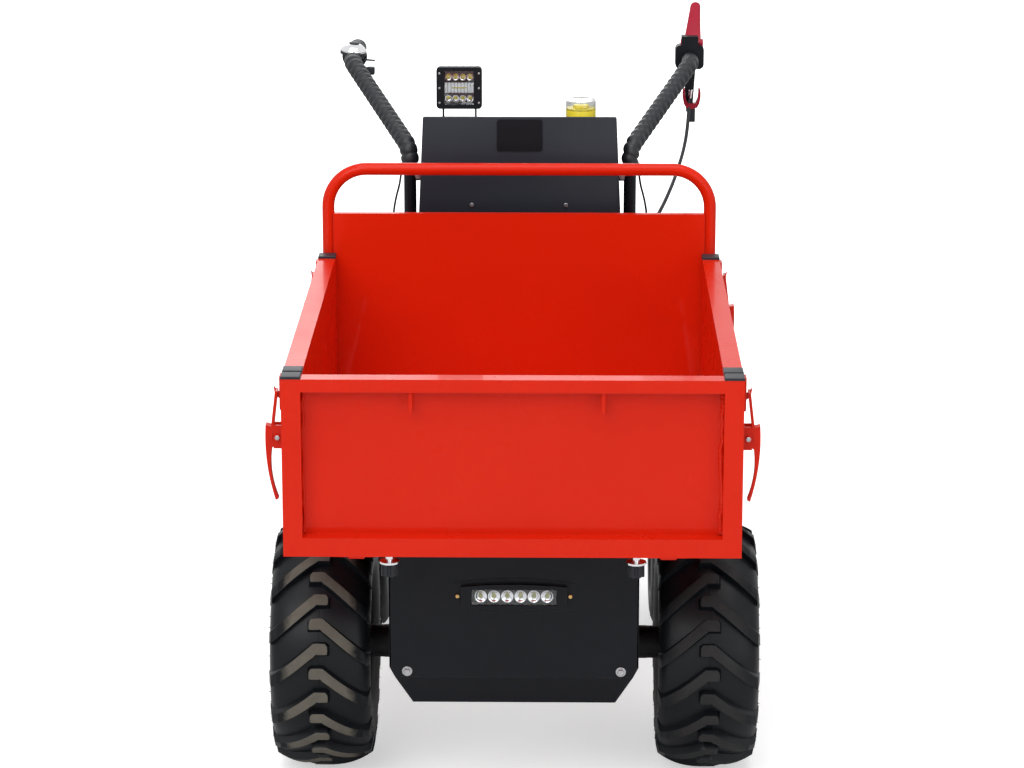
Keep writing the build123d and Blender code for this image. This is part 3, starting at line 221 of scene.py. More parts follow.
finishes = {
    "redPaint": {
        "colour": (0.655, 0.017, 0.003), "shade": (0.53, 0.011, 0.002), "worn": (0.30, 0.06, 0.035),
        "rough": 0.28, "roughSpread": 0.10, "coat": 0.14, "coatRough": 0.03, "gloss": 0.08,
        "skin": paintSkin, "skinScale": 260.0, "bump": 0.05, "bumpDepth": 0.0004,
        "wear": 0.35, "wearRadius": 0.0012, "dust": 0.02, "dustColour": (0.50, 0.12, 0.08),
        "patch": 5.0, "shadeAmount": 0.3,
    },
    "blackPaint": {
        **darkPaint,
        "colour": (0.0060, 0.0073, 0.0105), "shade": (0.0042, 0.0052, 0.0078),
        "worn": (0.10, 0.105, 0.115), "rough": 0.40, "roughSpread": 0.12, "gloss": 0.16, "dust": 0.025,
        "dustColour": (0.12, 0.12, 0.125), "patch": 7.0, "shadeAmount": 0.6,
    },
    "consolePaint": {
        **darkPaint,
        "colour": (0.0190, 0.0225, 0.0310), "shade": (0.0140, 0.0165, 0.0230),
        "worn": (0.13, 0.135, 0.145), "rough": 0.36, "roughSpread": 0.10, "gloss": 0.2, "dust": 0.02,
        "dustColour": (0.15, 0.15, 0.16), "patch": 6.0, "shadeAmount": 0.5,
    },
    "blackPlastic": {
        "colour": (0.022, 0.025, 0.032), "shade": (0.015, 0.017, 0.022), "worn": (0.11, 0.115, 0.125),
        "rough": 0.46, "roughSpread": 0.10, "gloss": 0.25,
        "skin": mouldGrain, "skinScale": 1100.0, "bump": 0.25, "bumpDepth": 0.0003,
        "wear": 0.25, "wearRadius": 0.001, "dust": 0.05, "dustColour": (0.20, 0.19, 0.18),
        "patch": 10.0, "shadeAmount": 0.5,
    },
    "tyreRubber": {
        "colour": (0.0055, 0.0072, 0.0095), "shade": (0.0032, 0.0042, 0.0055), "worn": (0.045, 0.048, 0.054),
        "rough": 0.38, "roughSpread": 0.14, "gloss": 0.20,
        "skin": mouldGrain, "skinScale": 700.0, "bump": 0.12, "bumpDepth": 0.0003,
        "wear": 0.35, "wearRadius": 0.0015, "dust": 0.05, "dustColour": (0.085, 0.072, 0.060),
        "patch": 11.0, "shadeAmount": 0.6,
    },
    # The two lug rubbers are copies of one worn rubber. Their difference is painted light and shade: paler on
    # the left tyre, where the light falls, and darker on the right tyre, in shade
    "lugRubber.left": {
        **lugLook,
        "colour": (0.135, 0.125, 0.103), "shade": (0.080, 0.075, 0.065), "worn": (0.17, 0.155, 0.13),
        "rough": 0.78, "roughSpread": 0.10, "gloss": 0.15, "dustColour": (0.045, 0.041, 0.038),
        "fadeFrom": 0.045, "fadeTo": 0.061,
    },
    "lugRubber.right": {
        **lugLook,
        "colour": (0.026, 0.026, 0.026), "shade": (0.014, 0.014, 0.015), "worn": (0.055, 0.055, 0.055),
        "rough": 0.70, "roughSpread": 0.12, "gloss": 0.2, "dustColour": (0.018, 0.018, 0.019),
        "fadeFrom": 0.040, "fadeTo": 0.064,
    },
    "rimPaint": {
        "colour": (0.42, 0.43, 0.44), "shade": (0.30, 0.31, 0.32), "worn": (0.20, 0.17, 0.14),
        "rough": 0.36, "roughSpread": 0.1, "metal": 0.5,
        "skin": paintSkin, "skinScale": 500.0, "bump": 0.1, "bumpDepth": 0.0003,
        "wear": 0.3, "wearRadius": 0.0015, "dust": 0.2, "dustColour": (0.25, 0.22, 0.19),
        "patch": 9.0, "shadeAmount": 0.4,
    },
    "softRubber": {
        "colour": (0.013, 0.015, 0.019), "shade": (0.008, 0.009, 0.012), "worn": (0.06, 0.063, 0.070),
        "rough": 0.42, "roughSpread": 0.12, "gloss": 0.35,
        "skin": mouldGrain, "skinScale": 900.0, "bump": 0.3, "bumpDepth": 0.0003,
        "wear": 0.2, "wearRadius": 0.0015, "dust": 0.04, "dustColour": (0.12, 0.12, 0.12),
        "patch": 14.0, "shadeAmount": 0.5,
    },
    "chromePlate": {
        "colour": (0.80, 0.80, 0.82), "shade": (0.62, 0.62, 0.64), "worn": (0.35, 0.30, 0.24),
        "rough": 0.10, "roughSpread": 0.08, "metal": 1.0,
        "skin": paintSkin, "skinScale": 300.0, "bump": 0.03, "bumpDepth": 0.0002,
        "wear": 0.2, "wearRadius": 0.001, "dust": 0.04, "dustColour": (0.30, 0.28, 0.26),
        "patch": 20.0, "shadeAmount": 0.5,
    },
    "zincPlate": {
        "colour": (0.50, 0.51, 0.53), "shade": (0.34, 0.34, 0.36), "worn": (0.30, 0.27, 0.23),
        "rough": 0.30, "roughSpread": 0.15, "metal": 1.0,
        "skin": paintSkin, "skinScale": 600.0, "bump": 0.06, "bumpDepth": 0.0002,
        "wear": 0.3, "wearRadius": 0.001, "dust": 0.06, "dustColour": (0.30, 0.28, 0.26),
        "patch": 30.0, "shadeAmount": 0.6,
    },
    "yellowPlastic": {
        "colour": (0.83, 0.66, 0.02), "shade": (0.68, 0.50, 0.01), "worn": (0.60, 0.52, 0.20),
        "rough": 0.34, "roughSpread": 0.08,
        "skin": mouldGrain, "skinScale": 1300.0, "bump": 0.1, "bumpDepth": 0.0002,
        "wear": 0.3, "wearRadius": 0.001, "dust": 0.08, "dustColour": (0.45, 0.40, 0.25),
        "patch": 18.0, "shadeAmount": 0.4,
    },
    "axleCasting": {
        "colour": (0.011, 0.012, 0.015), "shade": (0.006, 0.007, 0.008), "worn": (0.08, 0.08, 0.085),
        "rough": 0.52, "roughSpread": 0.15, "gloss": 0.25,
        "skin": mouldGrain, "skinScale": 420.0, "bump": 0.5, "bumpDepth": 0.0006,
        "wear": 0.3, "wearRadius": 0.002, "dust": 0.08, "dustColour": (0.18, 0.165, 0.15),
        "patch": 9.0, "shadeAmount": 0.6,
    },
    "whiteReflector": {
        "colour": (0.80, 0.82, 0.84), "shade": (0.62, 0.64, 0.66), "worn": (0.60, 0.60, 0.60),
        "rough": 0.20, "roughSpread": 0.06,
        "skin": paintSkin, "skinScale": 700.0, "bump": 0.04, "bumpDepth": 0.0001,
        "wear": 0.1, "wearRadius": 0.0006, "dust": 0.03, "dustColour": (0.60, 0.58, 0.55),
        "patch": 25.0, "shadeAmount": 0.3,
    },
    "diode": {
        **diodeLook,
        "colour": (0.55, 0.56, 0.16), "shade": (0.38, 0.38, 0.08), "worn": (0.55, 0.55, 0.25),
        "dustColour": (0.60, 0.56, 0.45),
    },
    "amberDiode": {
        **diodeLook,
        "colour": (0.52, 0.44, 0.03), "shade": (0.36, 0.29, 0.015), "worn": (0.55, 0.48, 0.15),
        "dustColour": (0.60, 0.52, 0.30),
    },
    "brassScrew": {
        "colour": (0.62, 0.40, 0.16), "shade": (0.42, 0.25, 0.09), "worn": (0.30, 0.20, 0.10),
        "rough": 0.28, "roughSpread": 0.1, "metal": 1.0,
        "skin": paintSkin, "skinScale": 700.0, "bump": 0.05, "bumpDepth": 0.0001,
        "wear": 0.2, "wearRadius": 0.0005, "dust": 0.05, "dustColour": (0.30, 0.25, 0.20),
        "patch": 40.0, "shadeAmount": 0.5,
    },
    "crimsonPaint": {
        "colour": (0.36, 0.011, 0.032), "shade": (0.25, 0.007, 0.020), "worn": (0.30, 0.12, 0.12),
        "rough": 0.30, "roughSpread": 0.08, "coat": 0.10, "coatRough": 0.1, "gloss": 0.15,
        "skin": paintSkin, "skinScale": 350.0, "bump": 0.06, "bumpDepth": 0.0003,
        "wear": 0.4, "wearRadius": 0.001, "dust": 0.02, "dustColour": (0.40, 0.15, 0.14),
        "patch": 16.0, "shadeAmount": 0.4,
    },
}


def rgba(colour):
    return (*colour, 1.0)


blendSet = {
    "toneStart": 0.35, "toneGain": 2.4, "dustScale": 2.2, "dustLift": 0.35, "wearScale": 9.0,
    "roughMiddle": 0.4, "dustRough": 0.6,
}


def makeFinish(name, values, blend):
    material = bpy.data.materials.new(name)
    material.use_nodes = True
    tree = material.node_tree
    shader = tree.nodes["Principled BSDF"]
    shader.inputs["Metallic"].default_value = values.get("metal", 0.0)
    shader.inputs["Specular IOR Level"].default_value = values.get("gloss", 0.5)
    shader.inputs["Coat Weight"].default_value = values.get("coat", 0.0)
    shader.inputs["Coat Roughness"].default_value = values.get("coatRough", 0.03)
    skin = useGroup(tree, values["skin"], Scale=values["skinScale"], Patch=values["patch"])
    tone = ramp(tree, skin.outputs["Tone"], blend["toneStart"], blend["toneGain"])
    shaded = mathNode(tree, "MULTIPLY", tone, values["shadeAmount"])
    colour = mixColour(tree, shaded, rgba(values["colour"]), rgba(values["shade"]))
    dust = useGroup(tree, settledDust, Scale=values["patch"] * blend["dustScale"], Amount=values["dust"],
                    Lift=blend["dustLift"])
    colour = mixColour(tree, dust.outputs["Mask"], colour, rgba(values["dustColour"]))
    wear = useGroup(tree, edgeWear, Radius=values["wearRadius"], Scale=values["patch"] * blend["wearScale"],
                    Amount=values["wear"])
    colour = mixColour(tree, wear.outputs["Mask"], colour, rgba(values["worn"]))
    if "fadeFrom" in values:
        across = useGroup(tree, treadReach, From=values["fadeFrom"], To=values["fadeTo"])
        colour = mixColour(tree, across.outputs["Mask"], colour, rgba(values["fadeColour"]))
    tree.links.new(colour, shader.inputs["Base Color"])
    rough = mathNode(tree, "MULTIPLY", tone, values["roughSpread"])
    rough = mathNode(tree, "ADD", rough, values["rough"] - values["roughSpread"] * blend["roughMiddle"])
    dulled = mathNode(tree, "MULTIPLY", dust.outputs["Mask"], blend["dustRough"])
    rough = mathNode(tree, "ADD", rough, dulled, True)
    tree.links.new(rough, shader.inputs["Roughness"])
    bump = addNode(tree, "ShaderNodeBump", {
        "Strength": values["bump"], "Distance": values["bumpDepth"], "Height": skin.outputs["Height"],
    })
    tree.links.new(bump.outputs[0], shader.inputs["Normal"])
    return material


materials = {name: makeFinish(name, values, blendSet) for name, values in finishes.items()}


def makeClear(name, tint, rough, bend=1.49, smearScale=40.0):
    material = bpy.data.materials.new(name)
    material.use_nodes = True
    tree = material.node_tree
    shader = tree.nodes["Principled BSDF"]
    shader.inputs["Transmission Weight"].default_value = 1.0
    shader.inputs["IOR"].default_value = bend
    smear = mathNode(tree, "MULTIPLY", objectNoise(tree, smearScale, 4.0, 0.6), rough)
    tree.links.new(smear, shader.inputs["Roughness"])
    shader.inputs["Base Color"].default_value = rgba(tint)
    return material


materials["clearLens"] = makeClear("clearLens", (0.93, 0.95, 0.96), 0.08)

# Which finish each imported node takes, by its slot in the record

slotFinish = {
    "red_paint": "redPaint", "black_paint": "blackPaint", "black_plastic": "blackPlastic",
    "tyre_rubber": "tyreRubber", "rim_paint": "rimPaint", "soft_rubber": "softRubber",
    "chrome": "chromePlate", "clear_lens": "clearLens", "yellow_plastic": "yellowPlastic",
    "axle_casting": "axleCasting", "crimson_paint": "crimsonPaint", "red_plastic": "yellowPlastic",
    "zinc_plate": "zincPlate",
}

# The nodes that take another finish than their slot's

nodeFinish = {"console_plate": "blackPaint", "light_bar": "blackPaint", "work_lamp": "blackPaint"}


def dressNodes():
    for part in frame["record"]["subparts"]:
        node = nodes[part["node"]]
        finish = nodeFinish.get(part["node"], slotFinish[part["material_slot"]])
        node.data.materials.clear()
        node.data.materials.append(materials[finish])


dressNodes()
print("finishes on the packed nodes")


# Mesh helpers: every place is given in millimetres as x, depth behind the gate's face, height

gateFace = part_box("front_gate")[0].y
front = Vector((0, -1, 0))
rear = Vector((0, 1, 0))
up = Vector((0, 0, 1))
acrossX = Vector((1, 0, 0))
sharpAngle = math.radians(38.0)


def spot(x, depth, z):
    return Vector((x / 1000.0, gateFace + depth / 1000.0, z / 1000.0))


def addPiece(name, mesh, finish, body, smooth=True):
    mesh.materials.append(materials[finish])
    for face in mesh.polygons:
        face.use_smooth = smooth
    if smooth:
        mesh.set_sharp_from_angle(angle=sharpAngle)
    piece = bpy.data.objects.new(name, mesh)
    bpy.context.scene.collection.objects.link(piece)
    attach(piece, body)
    return piece


def meshFrom(name, build):
    shape = bmesh.new()
    build(shape)
    bmesh.ops.recalc_face_normals(shape, faces=shape.faces)
    mesh = bpy.data.meshes.new(name)
    shape.to_mesh(mesh)
    shape.free()
    return mesh


def frameOf(along):
    along = along.normalized()
    side = along.cross(Vector((0.0, 0.0, 1.0)))
    if side.length < 0.2:
        side = along.cross(Vector((0.0, 1.0, 0.0)))
    side.normalize()
    return side, along.cross(side).normalized()


def addRing(shape, centre, side, lift, radiusAt, segments):
    ring = []
    for step in range(segments):
        angle = 2 * math.pi * step / segments
        way = side * math.cos(angle) + lift * math.sin(angle)
        ring.append(shape.verts.new(centre + way * radiusAt(angle)))
    return ring


def joinRings(shape, rings, capped):
    count = len(rings[0])
    for first, second in zip(rings, rings[1:]):
        for step in range(count):
            after = (step + 1) % count
            shape.faces.new((first[step], first[after], second[after], second[step]))
    if capped:
        shape.faces.new(rings[0][::-1])
        shape.faces.new(rings[-1])


def addTube(shape, points, radii, segments=16, capped=True):
    side = frameOf(points[1] - points[0])[0]
    rings = []
    for index, point in enumerate(points):
        before = points[max(index - 1, 0)]
        after = points[min(index + 1, len(points) - 1)]
        along = (after - before).normalized()
        side = (side - along * side.dot(along)).normalized()
        lift = along.cross(side).normalized()

        def radiusAt(angle):
            return radii(index, angle) if callable(radii) else radii[index]

        rings.append(addRing(shape, point, side, lift, radiusAt, segments))
    joinRings(shape, rings, capped)


# A turned form, from offsets along its axis and radii in millimetres. A hollow one joins its ends
def addLathe(shape, centre, axis, profile, segments=32, hollow=False):
    side, lift = frameOf(axis)
    rings = []
    for offset, radius in profile:
        point = centre + axis.normalized() * offset / 1000.0
        rings.append(addRing(shape, point, side, lift, lambda angle: radius / 1000.0, segments))
    if hollow:
        rings.append(rings[0])
    joinRings(shape, rings, not hollow)


def turnedMesh(name, centre, axis, profile, segments, hollow=False):
    return meshFrom(name, lambda shape: addLathe(shape, centre, axis, profile, segments, hollow))


# The second half of an outline, from the first by a mirror across its middle
def mirrored(half):
    return list(half) + [(-across, other) for across, other in reversed(half)]


boltSet = {"washer": 1.6, "washerFlat": 1.2, "head": 0.57, "chamfer": 0.48, "socket": 0.2, "pip": 0.18}


def addBolt(shape, centre, axis, across, washer=0.0, tall=0.6, sides=6, values=boltSet):
    height = across * tall
    base = 0.0
    if washer:
        base = values["washer"]
        addLathe(shape, centre, axis, [
            (0, washer * 0.48), (0, washer * 0.5),
            (values["washerFlat"], washer * 0.5), (base, washer * 0.47),
        ], 28)
    addLathe(shape, centre, axis, [
        (base, across * values["head"]), (base + height * 0.8, across * values["head"]),
        (base + height, across * values["chamfer"]), (base + height, across * values["socket"]),
        (base + height * 1.05, across * values["pip"]),
    ], sides)


def roundedBlock(shape, low, high, bevel=0.0008, segments=2):
    made = bmesh.ops.create_cube(shape, size=1.0)["verts"]
    size = high - low
    for vert in made:
        vert.co = low + (vert.co + Vector((0.5, 0.5, 0.5))) * size
    edges = list({edge for vert in made for edge in vert.link_edges})
    bmesh.ops.bevel(shape, geom=edges, offset=bevel, segments=segments, profile=0.6, affect="EDGES")


def addLoft(shape, front, back):
    first = [shape.verts.new(point) for point in front]
    second = [shape.verts.new(point) for point in back]
    shape.faces.new(first)
    shape.faces.new(second[::-1])
    for index in range(len(front)):
        after = (index + 1) % len(front)
        shape.faces.new((first[index], second[index], second[after], first[after]))


# Console with its top sloping to the rear, the access panel on its back and the lamp's bracket

housingSet = {
    "front": 950.0, "rear": 1130.0, "foot": 450.0, "taper": 800.0, "top": 972.0, "drop": 43.0,
    "halfFoot": 177.0, "halfTop": 169.0, "edge": 0.0028,
}
accessSet = {"half": 150.0, "low": 480.0, "high": 770.0, "proud": 2.0, "sunk": 0.5, "edge": 0.0006}
bracketSet = {
    "x": -106.5, "half": 30.0, "sheet": 3.0, "near": 1003.3, "far": 1025.3, "high": 982.0, "sunk": 6.0,
    "edge": 0.0004,
}


def slopeAt(values, depth):
    return values["top"] - values["drop"] * (depth - values["front"]) / (values["rear"] - values["front"])


def addHousing(values, access):
    def outline(depth):
        top = slopeAt(values, depth)
        lean = (values["halfFoot"] - values["halfTop"]) / (values["top"] - values["taper"])
        foot, half = values["halfFoot"], values["halfFoot"] - lean * (top - values["taper"])
        corners = (
            (-foot, values["foot"]), (foot, values["foot"]), (foot, values["taper"]),
            (half, top), (-half, top), (-foot, values["taper"]),
        )
        return [spot(x, depth, z) for x, z in corners]

    def box(shape):
        addLoft(shape, outline(values["front"]), outline(values["rear"]))
        edges = list(shape.edges)
        bmesh.ops.bevel(shape, geom=edges, offset=values["edge"], segments=3, profile=0.5, affect="EDGES")
        near, far = values["rear"] - access["sunk"], values["rear"] + access["proud"]
        roundedBlock(shape, spot(-access["half"], near, access["low"]),
                     spot(access["half"], far, access["high"]), access["edge"])

    piece = addPiece("consoleBox", meshFrom("consoleBox", box), "consolePaint", "chassis")
    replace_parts(piece, "console")


def addLampBracket(values, housing):
    x, half, sheet = values["x"], values["half"], values["sheet"]

    def footAt(depth):
        foot = slopeAt(housing, depth)
        return [spot(x - half, depth, foot), spot(x - half, depth, foot + sheet),
                spot(x + half, depth, foot + sheet), spot(x + half, depth, foot)]

    def bracket(shape):
        low = slopeAt(housing, values["near"]) - values["sunk"]
        for left in (x - half, x + half - sheet):
            roundedBlock(shape, spot(left, values["near"], low),
                         spot(left + sheet, values["far"], values["high"]), values["edge"], 1)
        addLoft(shape, footAt(values["near"]), footAt(values["far"]))

    piece = addPiece("lampBracket", meshFrom("lampBracket", bracket), "blackPaint", "chassis")
    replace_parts(piece, "lamp_bracket")


addHousing(housingSet, accessSet)
addLampBracket(bracketSet, housingSet)

# Front cover: a flat plate with its lower part folded back, and a return down each side

coverSet = {
    "front": 187.0, "sheet": 3.0, "half": 196.5, "top": 425.0, "corner": 231.0, "fold": 215.0,
    "halfFold": 188.0, "bottom": 164.0, "halfBottom": 160.5, "foldBack": 24.0, "return": 25.0, "edge": 0.0006,
}


def addCover(values):
    sheet = Vector((0.0, values["sheet"] / 1000.0, 0.0))

    def plate(shape):
        near, half, halfFold = values["front"], values["half"], values["halfFold"]
        upper = [spot(x, near, z) for x, z in (
            (-half, values["top"]), (half, values["top"]), (half, values["corner"]),
            (halfFold, values["fold"]), (-halfFold, values["fold"]), (-half, values["corner"]),
        )]
        far = near + values["foldBack"]
        lower = [
            spot(-halfFold, near, values["fold"]), spot(halfFold, near, values["fold"]),
            spot(values["halfBottom"], far, values["bottom"]),
            spot(-values["halfBottom"], far, values["bottom"]),
        ]
        for outline in (upper, lower):
            addLoft(shape, outline, [point + sheet for point in outline])
        for low in (-half, half - values["sheet"]):
            roundedBlock(shape, spot(low, near, values["corner"]),
                         spot(low + values["sheet"], near + values["return"], values["top"]), values["edge"])

    piece = addPiece("frontCover", meshFrom("frontCover", plate), "blackPaint", "chassis")
    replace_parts(piece, "front_cover")


addCover(coverSet)
print("console and cover made")

# Stop switch: a round yellow body on the slope, its button and a clear guard over it

stopSet = {
    "x": 107.0, "depth": 1020.0, "foot": 949.0, "rim": 975.5, "segments": 48,
    "body": ((0.0, 26.4), (25.0, 26.4), (26.2, 25.8), (26.5, 25.0)),
    "button": ((-1.0, 14.0), (4.6, 14.0), (5.6, 13.2), (6.0, 11.5)),
    "guard": (
        (-3.0, 26.4), (11.6, 26.4), (13.9, 25.7), (15.1, 24.0), (15.5, 21.5), (15.5, 0.4), (14.2, 0.4),
        (14.2, 21.2), (13.7, 23.2), (12.8, 24.5), (11.2, 25.0), (-3.0, 25.1),
    ),
}


def addStopSwitch(values):
    foot = spot(values["x"], values["depth"], values["foot"])
    rim = spot(values["x"], values["depth"], values["rim"])
    for name, centre, profile, finish, slot, hollow, node in (
        ("stopBody", foot, values["body"], "yellowPlastic", "yellow_plastic", False, "stop_switch"),
        ("stopButton", rim, values["button"], "yellowPlastic", "red_plastic", False, "stop_button"),
        ("stopGuard", rim, values["guard"], "clearLens", "clear_lens", True, "stop_switch_cover"),
    ):
        mesh = turnedMesh(name, centre, up, profile, values["segments"], hollow)
        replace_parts(addPiece(name, mesh, finish, "chassis"), node)


addStopSwitch(stopSet)

# Bell: a chrome dome with a black cap, its plate and collar, and the striker beside it

bellSet = {
    "seat": (-308.0, 1259.2, 1030.0), "lean": (0.10, -0.06, 1.0), "bar": (-307.0, 1258.0, 1022.0),
    "dome": ((6.0, 23.4), (7.2, 23.7), (10.0, 23.0), (13.5, 20.6), (17.0, 16.4), (19.4, 11.6), (20.6, 8.4)),
    "cap": ((19.6, 9.8), (21.2, 9.6), (22.4, 8.2), (23.0, 5.5), (23.2, 1.0)),
    "disc": ((0.0, 20.0), (1.0, 24.0), (5.6, 24.3), (6.4, 23.4)),
    "collar": ((0.0, 15.6), (1.0, 17.0), (24.0, 17.0), (25.0, 15.6)),
    "rod": ((-296.0, 1257.0, 1019.5), (-283.0, 1255.0, 1020.5), (-268.0, 1255.0, 1019.5)),
    "rodRadii": (0.0019, 0.0019, 0.0016),
    "arm": ((-298.0, 1260.0, 1012.0), (-288.0, 1257.0, 1004.0), (-280.0, 1255.0, 1001.0)),
    "armRadii": (0.0055, 0.0050, 0.0046),
    "knob": ((-283.0, 1249.0, 993.0), (-268.5, 1262.0, 1008.0)), "knobEdge": 0.0032,
}


def addBell(values):
    seat = spot(*values["seat"])
    lean = Vector(values["lean"])

    def base(shape):
        addLathe(shape, seat, lean, values["disc"], 40)
        addLathe(shape, seat, lean, values["cap"], 28)
        addLathe(shape, spot(*values["bar"]), rear, values["collar"], 36)
        for name in ("rod", "arm"):
            addTube(shape, [spot(*place) for place in values[name]], values[name + "Radii"], 12)
        low, high = values["knob"]
        roundedBlock(shape, spot(*low), spot(*high), values["knobEdge"], 2)

    dome = turnedMesh("bellDome", seat, lean, values["dome"], 48)
    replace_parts(addPiece("bellDome", dome, "chromePlate", "chassis"), "bell_dome")
    piece = addPiece("bellBase", meshFrom("bellBase", base), "blackPlastic", "chassis")
    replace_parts(piece, "bell_base")


addBell(bellSet)

# Release lever: a tapered thumb blade behind the clamp's boss, and the horseshoe below it

leverSet = {
    "foot": (311.5, 1266.0, 1050.0), "tip": (320.0, 1343.0, 1112.5), "bow": 0.0025,
    "thick": 4.2, "square": 3.2,
    "blade": (
        (0.0, 15.5), (0.12, 15.2), (0.3, 13.6), (0.5, 12.0), (0.7, 10.6), (0.86, 9.8), (0.93, 9.3),
        (0.965, 8.1), (0.985, 6.4), (0.997, 3.8), (1.0, 1.2),
    ),
    "barrel": (311.0, 1270.5, 1051.0), "barrelHalf": ((-20.5, 6.0), (-19.5, 7.0), (-12.5, 7.0), (-12.0, 4.0)),
    "shoe": (310.5, 1231.0, 972.0), "shoeThick": 15.0,
    "outer": ((-15.5, 0.0), (-16.5, -8.0), (-16.2, -17.0), (-14.2, -27.0), (-10.0, -34.5)), "outerLow": -37.0,
    "inner": ((-12.0, 0.0), (-12.2, -8.0), (-11.0, -18.0), (-7.5, -26.0)), "innerLow": -28.0,
    "ferrulePlace": (309.0, 1234.0, 971.0), "ferruleWay": (-0.05, 0.12, -1.0),
    "ferrule": ((0.0, 2.0), (1.5, 4.0), (5.0, 4.4), (8.5, 4.0), (10.0, 3.4), (16.0, 3.4)),
    "tab": ((303.0, 1246.5, 908.0), (318.0, 1254.5, 934.0)), "tabEdge": 0.0015,
}


def horseshoe(half, low):
    return [*half, (0.0, low), *[(-x, z) for x, z in reversed(half)]]


def addReleaseLever(values):
    foot, tip = spot(*values["foot"]), spot(*values["tip"])

    def bladeRadius(index, angle):
        half, power = values["blade"][index][1], values["square"]
        thick = min(values["thick"], half)
        spread = (abs(math.cos(angle)) / half) ** power + (abs(math.sin(angle)) / thick) ** power
        return spread ** (-1.0 / power) / 1000.0

    def lever(shape):
        shares = [share for share, half in values["blade"]]
        points = [foot.lerp(tip, share) + up * values["bow"] * math.sin(math.pi * share) for share in shares]
        addTube(shape, points, bladeRadius, 28)
        addLathe(shape, spot(*values["barrel"]), acrossX, mirrored(values["barrelHalf"]), 24)
        x, depth, z = values["shoe"]
        outline = horseshoe(values["outer"], values["outerLow"])
        outline += horseshoe(values["inner"], values["innerLow"])[::-1]
        ring = [spot(x + across, depth, z + lift) for across, lift in outline]
        addLoft(shape, ring, [point + rear * values["shoeThick"] / 1000.0 for point in ring])

    def tab(shape):
        low, high = values["tab"]
        roundedBlock(shape, spot(*low), spot(*high), values["tabEdge"])

    piece = addPiece("thumbLever", meshFrom("thumbLever", lever), "crimsonPaint", "chassis")
    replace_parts(piece, "release_lever")
    place, way = spot(*values["ferrulePlace"]), Vector(values["ferruleWay"])
    ferrule = turnedMesh("cableFerrule", place, way, values["ferrule"], 24)
    addPiece("cableFerrule", ferrule, "chromePlate", "chassis")
    addPiece("armTab", meshFrom("armTab", tab), "blackPlastic", "chassis")


addReleaseLever(leverSet)
print("switch, bell and lever made")

# Wheel places, which the tyres, trims and axle sleeves share

driveSet = {"x": 310.0, "depth": 392.0, "z": 203.0}
casterSet = {"x": 296.0, "depth": 1064.0, "z": 165.0}


def wheelCentre(wheel, side, outward=0.0):
    return spot(side * (wheel["x"] + outward), wheel["depth"], wheel["z"])


# Axle sleeves beside the cover, and the grooved caster tyres

axleSet = {"near": 192.0, "far": 238.0, "radius": 26.5, "chamfer": 2.0}
casterTyreSet = {
    "segments": 96,
    "half": (
        (38.7, 76.8), (41.7, 85.8), (45.5, 88.5), (50.5, 95.0), (54.8, 104.0), (55.2, 106.5), (56.6, 107.0),
        (58.2, 118.0), (58.4, 130.0), (56.6, 141.0), (53.0, 149.5), (48.5, 155.0), (45.5, 157.2),
        (44.8, 153.4), (42.6, 154.0), (42.0, 158.8), (31.0, 161.6), (30.4, 156.6), (26.6, 157.2),
        (26.0, 162.6), (13.0, 164.3), (12.4, 159.0), (8.6, 159.4), (8.0, 164.8),
    ),
}


def addRunningGear(axle, tyre):
    length, radius, chamfer = axle["far"] - axle["near"], axle["radius"], axle["chamfer"]
    sleeve = ((0, radius), (length - chamfer, radius), (length, radius - chamfer))
    for side, name in ((-1, "left"), (1, "right")):
        place = wheelCentre(driveSet, side, axle["near"] - driveSet["x"])
        mesh = turnedMesh(f"axleSleeve{name}", place, acrossX * side, sleeve, 40)
        addPiece(f"axleSleeve.{name}", mesh, "axleCasting", "chassis")
        place = wheelCentre(casterSet, side)
        mesh = turnedMesh(f"casterTyre{name}", place, acrossX, mirrored(tyre["half"]), tyre["segments"], True)
        piece = addPiece(f"casterTyre.{name}", mesh, "tyreRubber", f"caster_wheel_{name}")
        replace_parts(piece, f"caster_tyre_{name}")


addRunningGear(axleSet, casterTyreSet)
print("axle sleeves and caster tyres on")

# Weld beads that the paint runs over

beadSet = {
    "seed": 11,
    "step": 0.0011,
    "ripple": 0.0026,
    "rippleTall": 0.12,
    "driftEvery": 12,
    "swellEvery": 18,
    "seams": (
        ("gate", (-314.0, 25.4, 505.0), (-314.0, 25.4, 728.0), 2.0, 1.1),
        ("gate", (313.2, 24.2, 505.0), (313.2, 24.2, 728.0), 3.4, 1.9),
        ("tray", (-318.5, 846.0, 505.0), (-318.5, 846.0, 700.0), 1.8, 0.8),
        ("tray", (318.5, 846.0, 505.0), (318.5, 846.0, 700.0), 1.8, 0.8),
    ),
}


def between(levels, index, every):
    slow, part = divmod(index / every, 1.0)
    return levels[int(slow)] * (1 - part) + levels[int(slow) + 1] * part


def addBeads(values):
    draw = random.Random(values["seed"])
    for number, (body, start, end, width, wander) in enumerate(values["seams"]):
        low, high = spot(*start), spot(*end)
        count = int((high - low).length / values["step"])
        drift = [draw.uniform(-1, 1) for index in range(count // values["driftEvery"] + 3)]
        swell = [draw.uniform(0.75, 1.35) for index in range(count // values["swellEvery"] + 3)]
        points, radii = [], []
        for index in range(count + 1):
            shift = between(drift, index, values["driftEvery"]) * wander / 1000.0
            fat = between(swell, index, values["swellEvery"])
            wave = math.sin(2 * math.pi * index * values["step"] / values["ripple"])
            points.append(low.lerp(high, index / count) + acrossX * shift)
            radii.append(width * fat * (1.0 + values["rippleTall"] * wave) / 1000.0)
        mesh = meshFrom(f"weldBead{number}", lambda shape: addTube(shape, points, radii, 10))
        addPiece(f"weldBead{number}", mesh, "redPaint", body)


addBeads(beadSet)
print("weld beads laid")

# Sleeves round the handlebars' low bends: bellows on the left, a wrapped one on the right

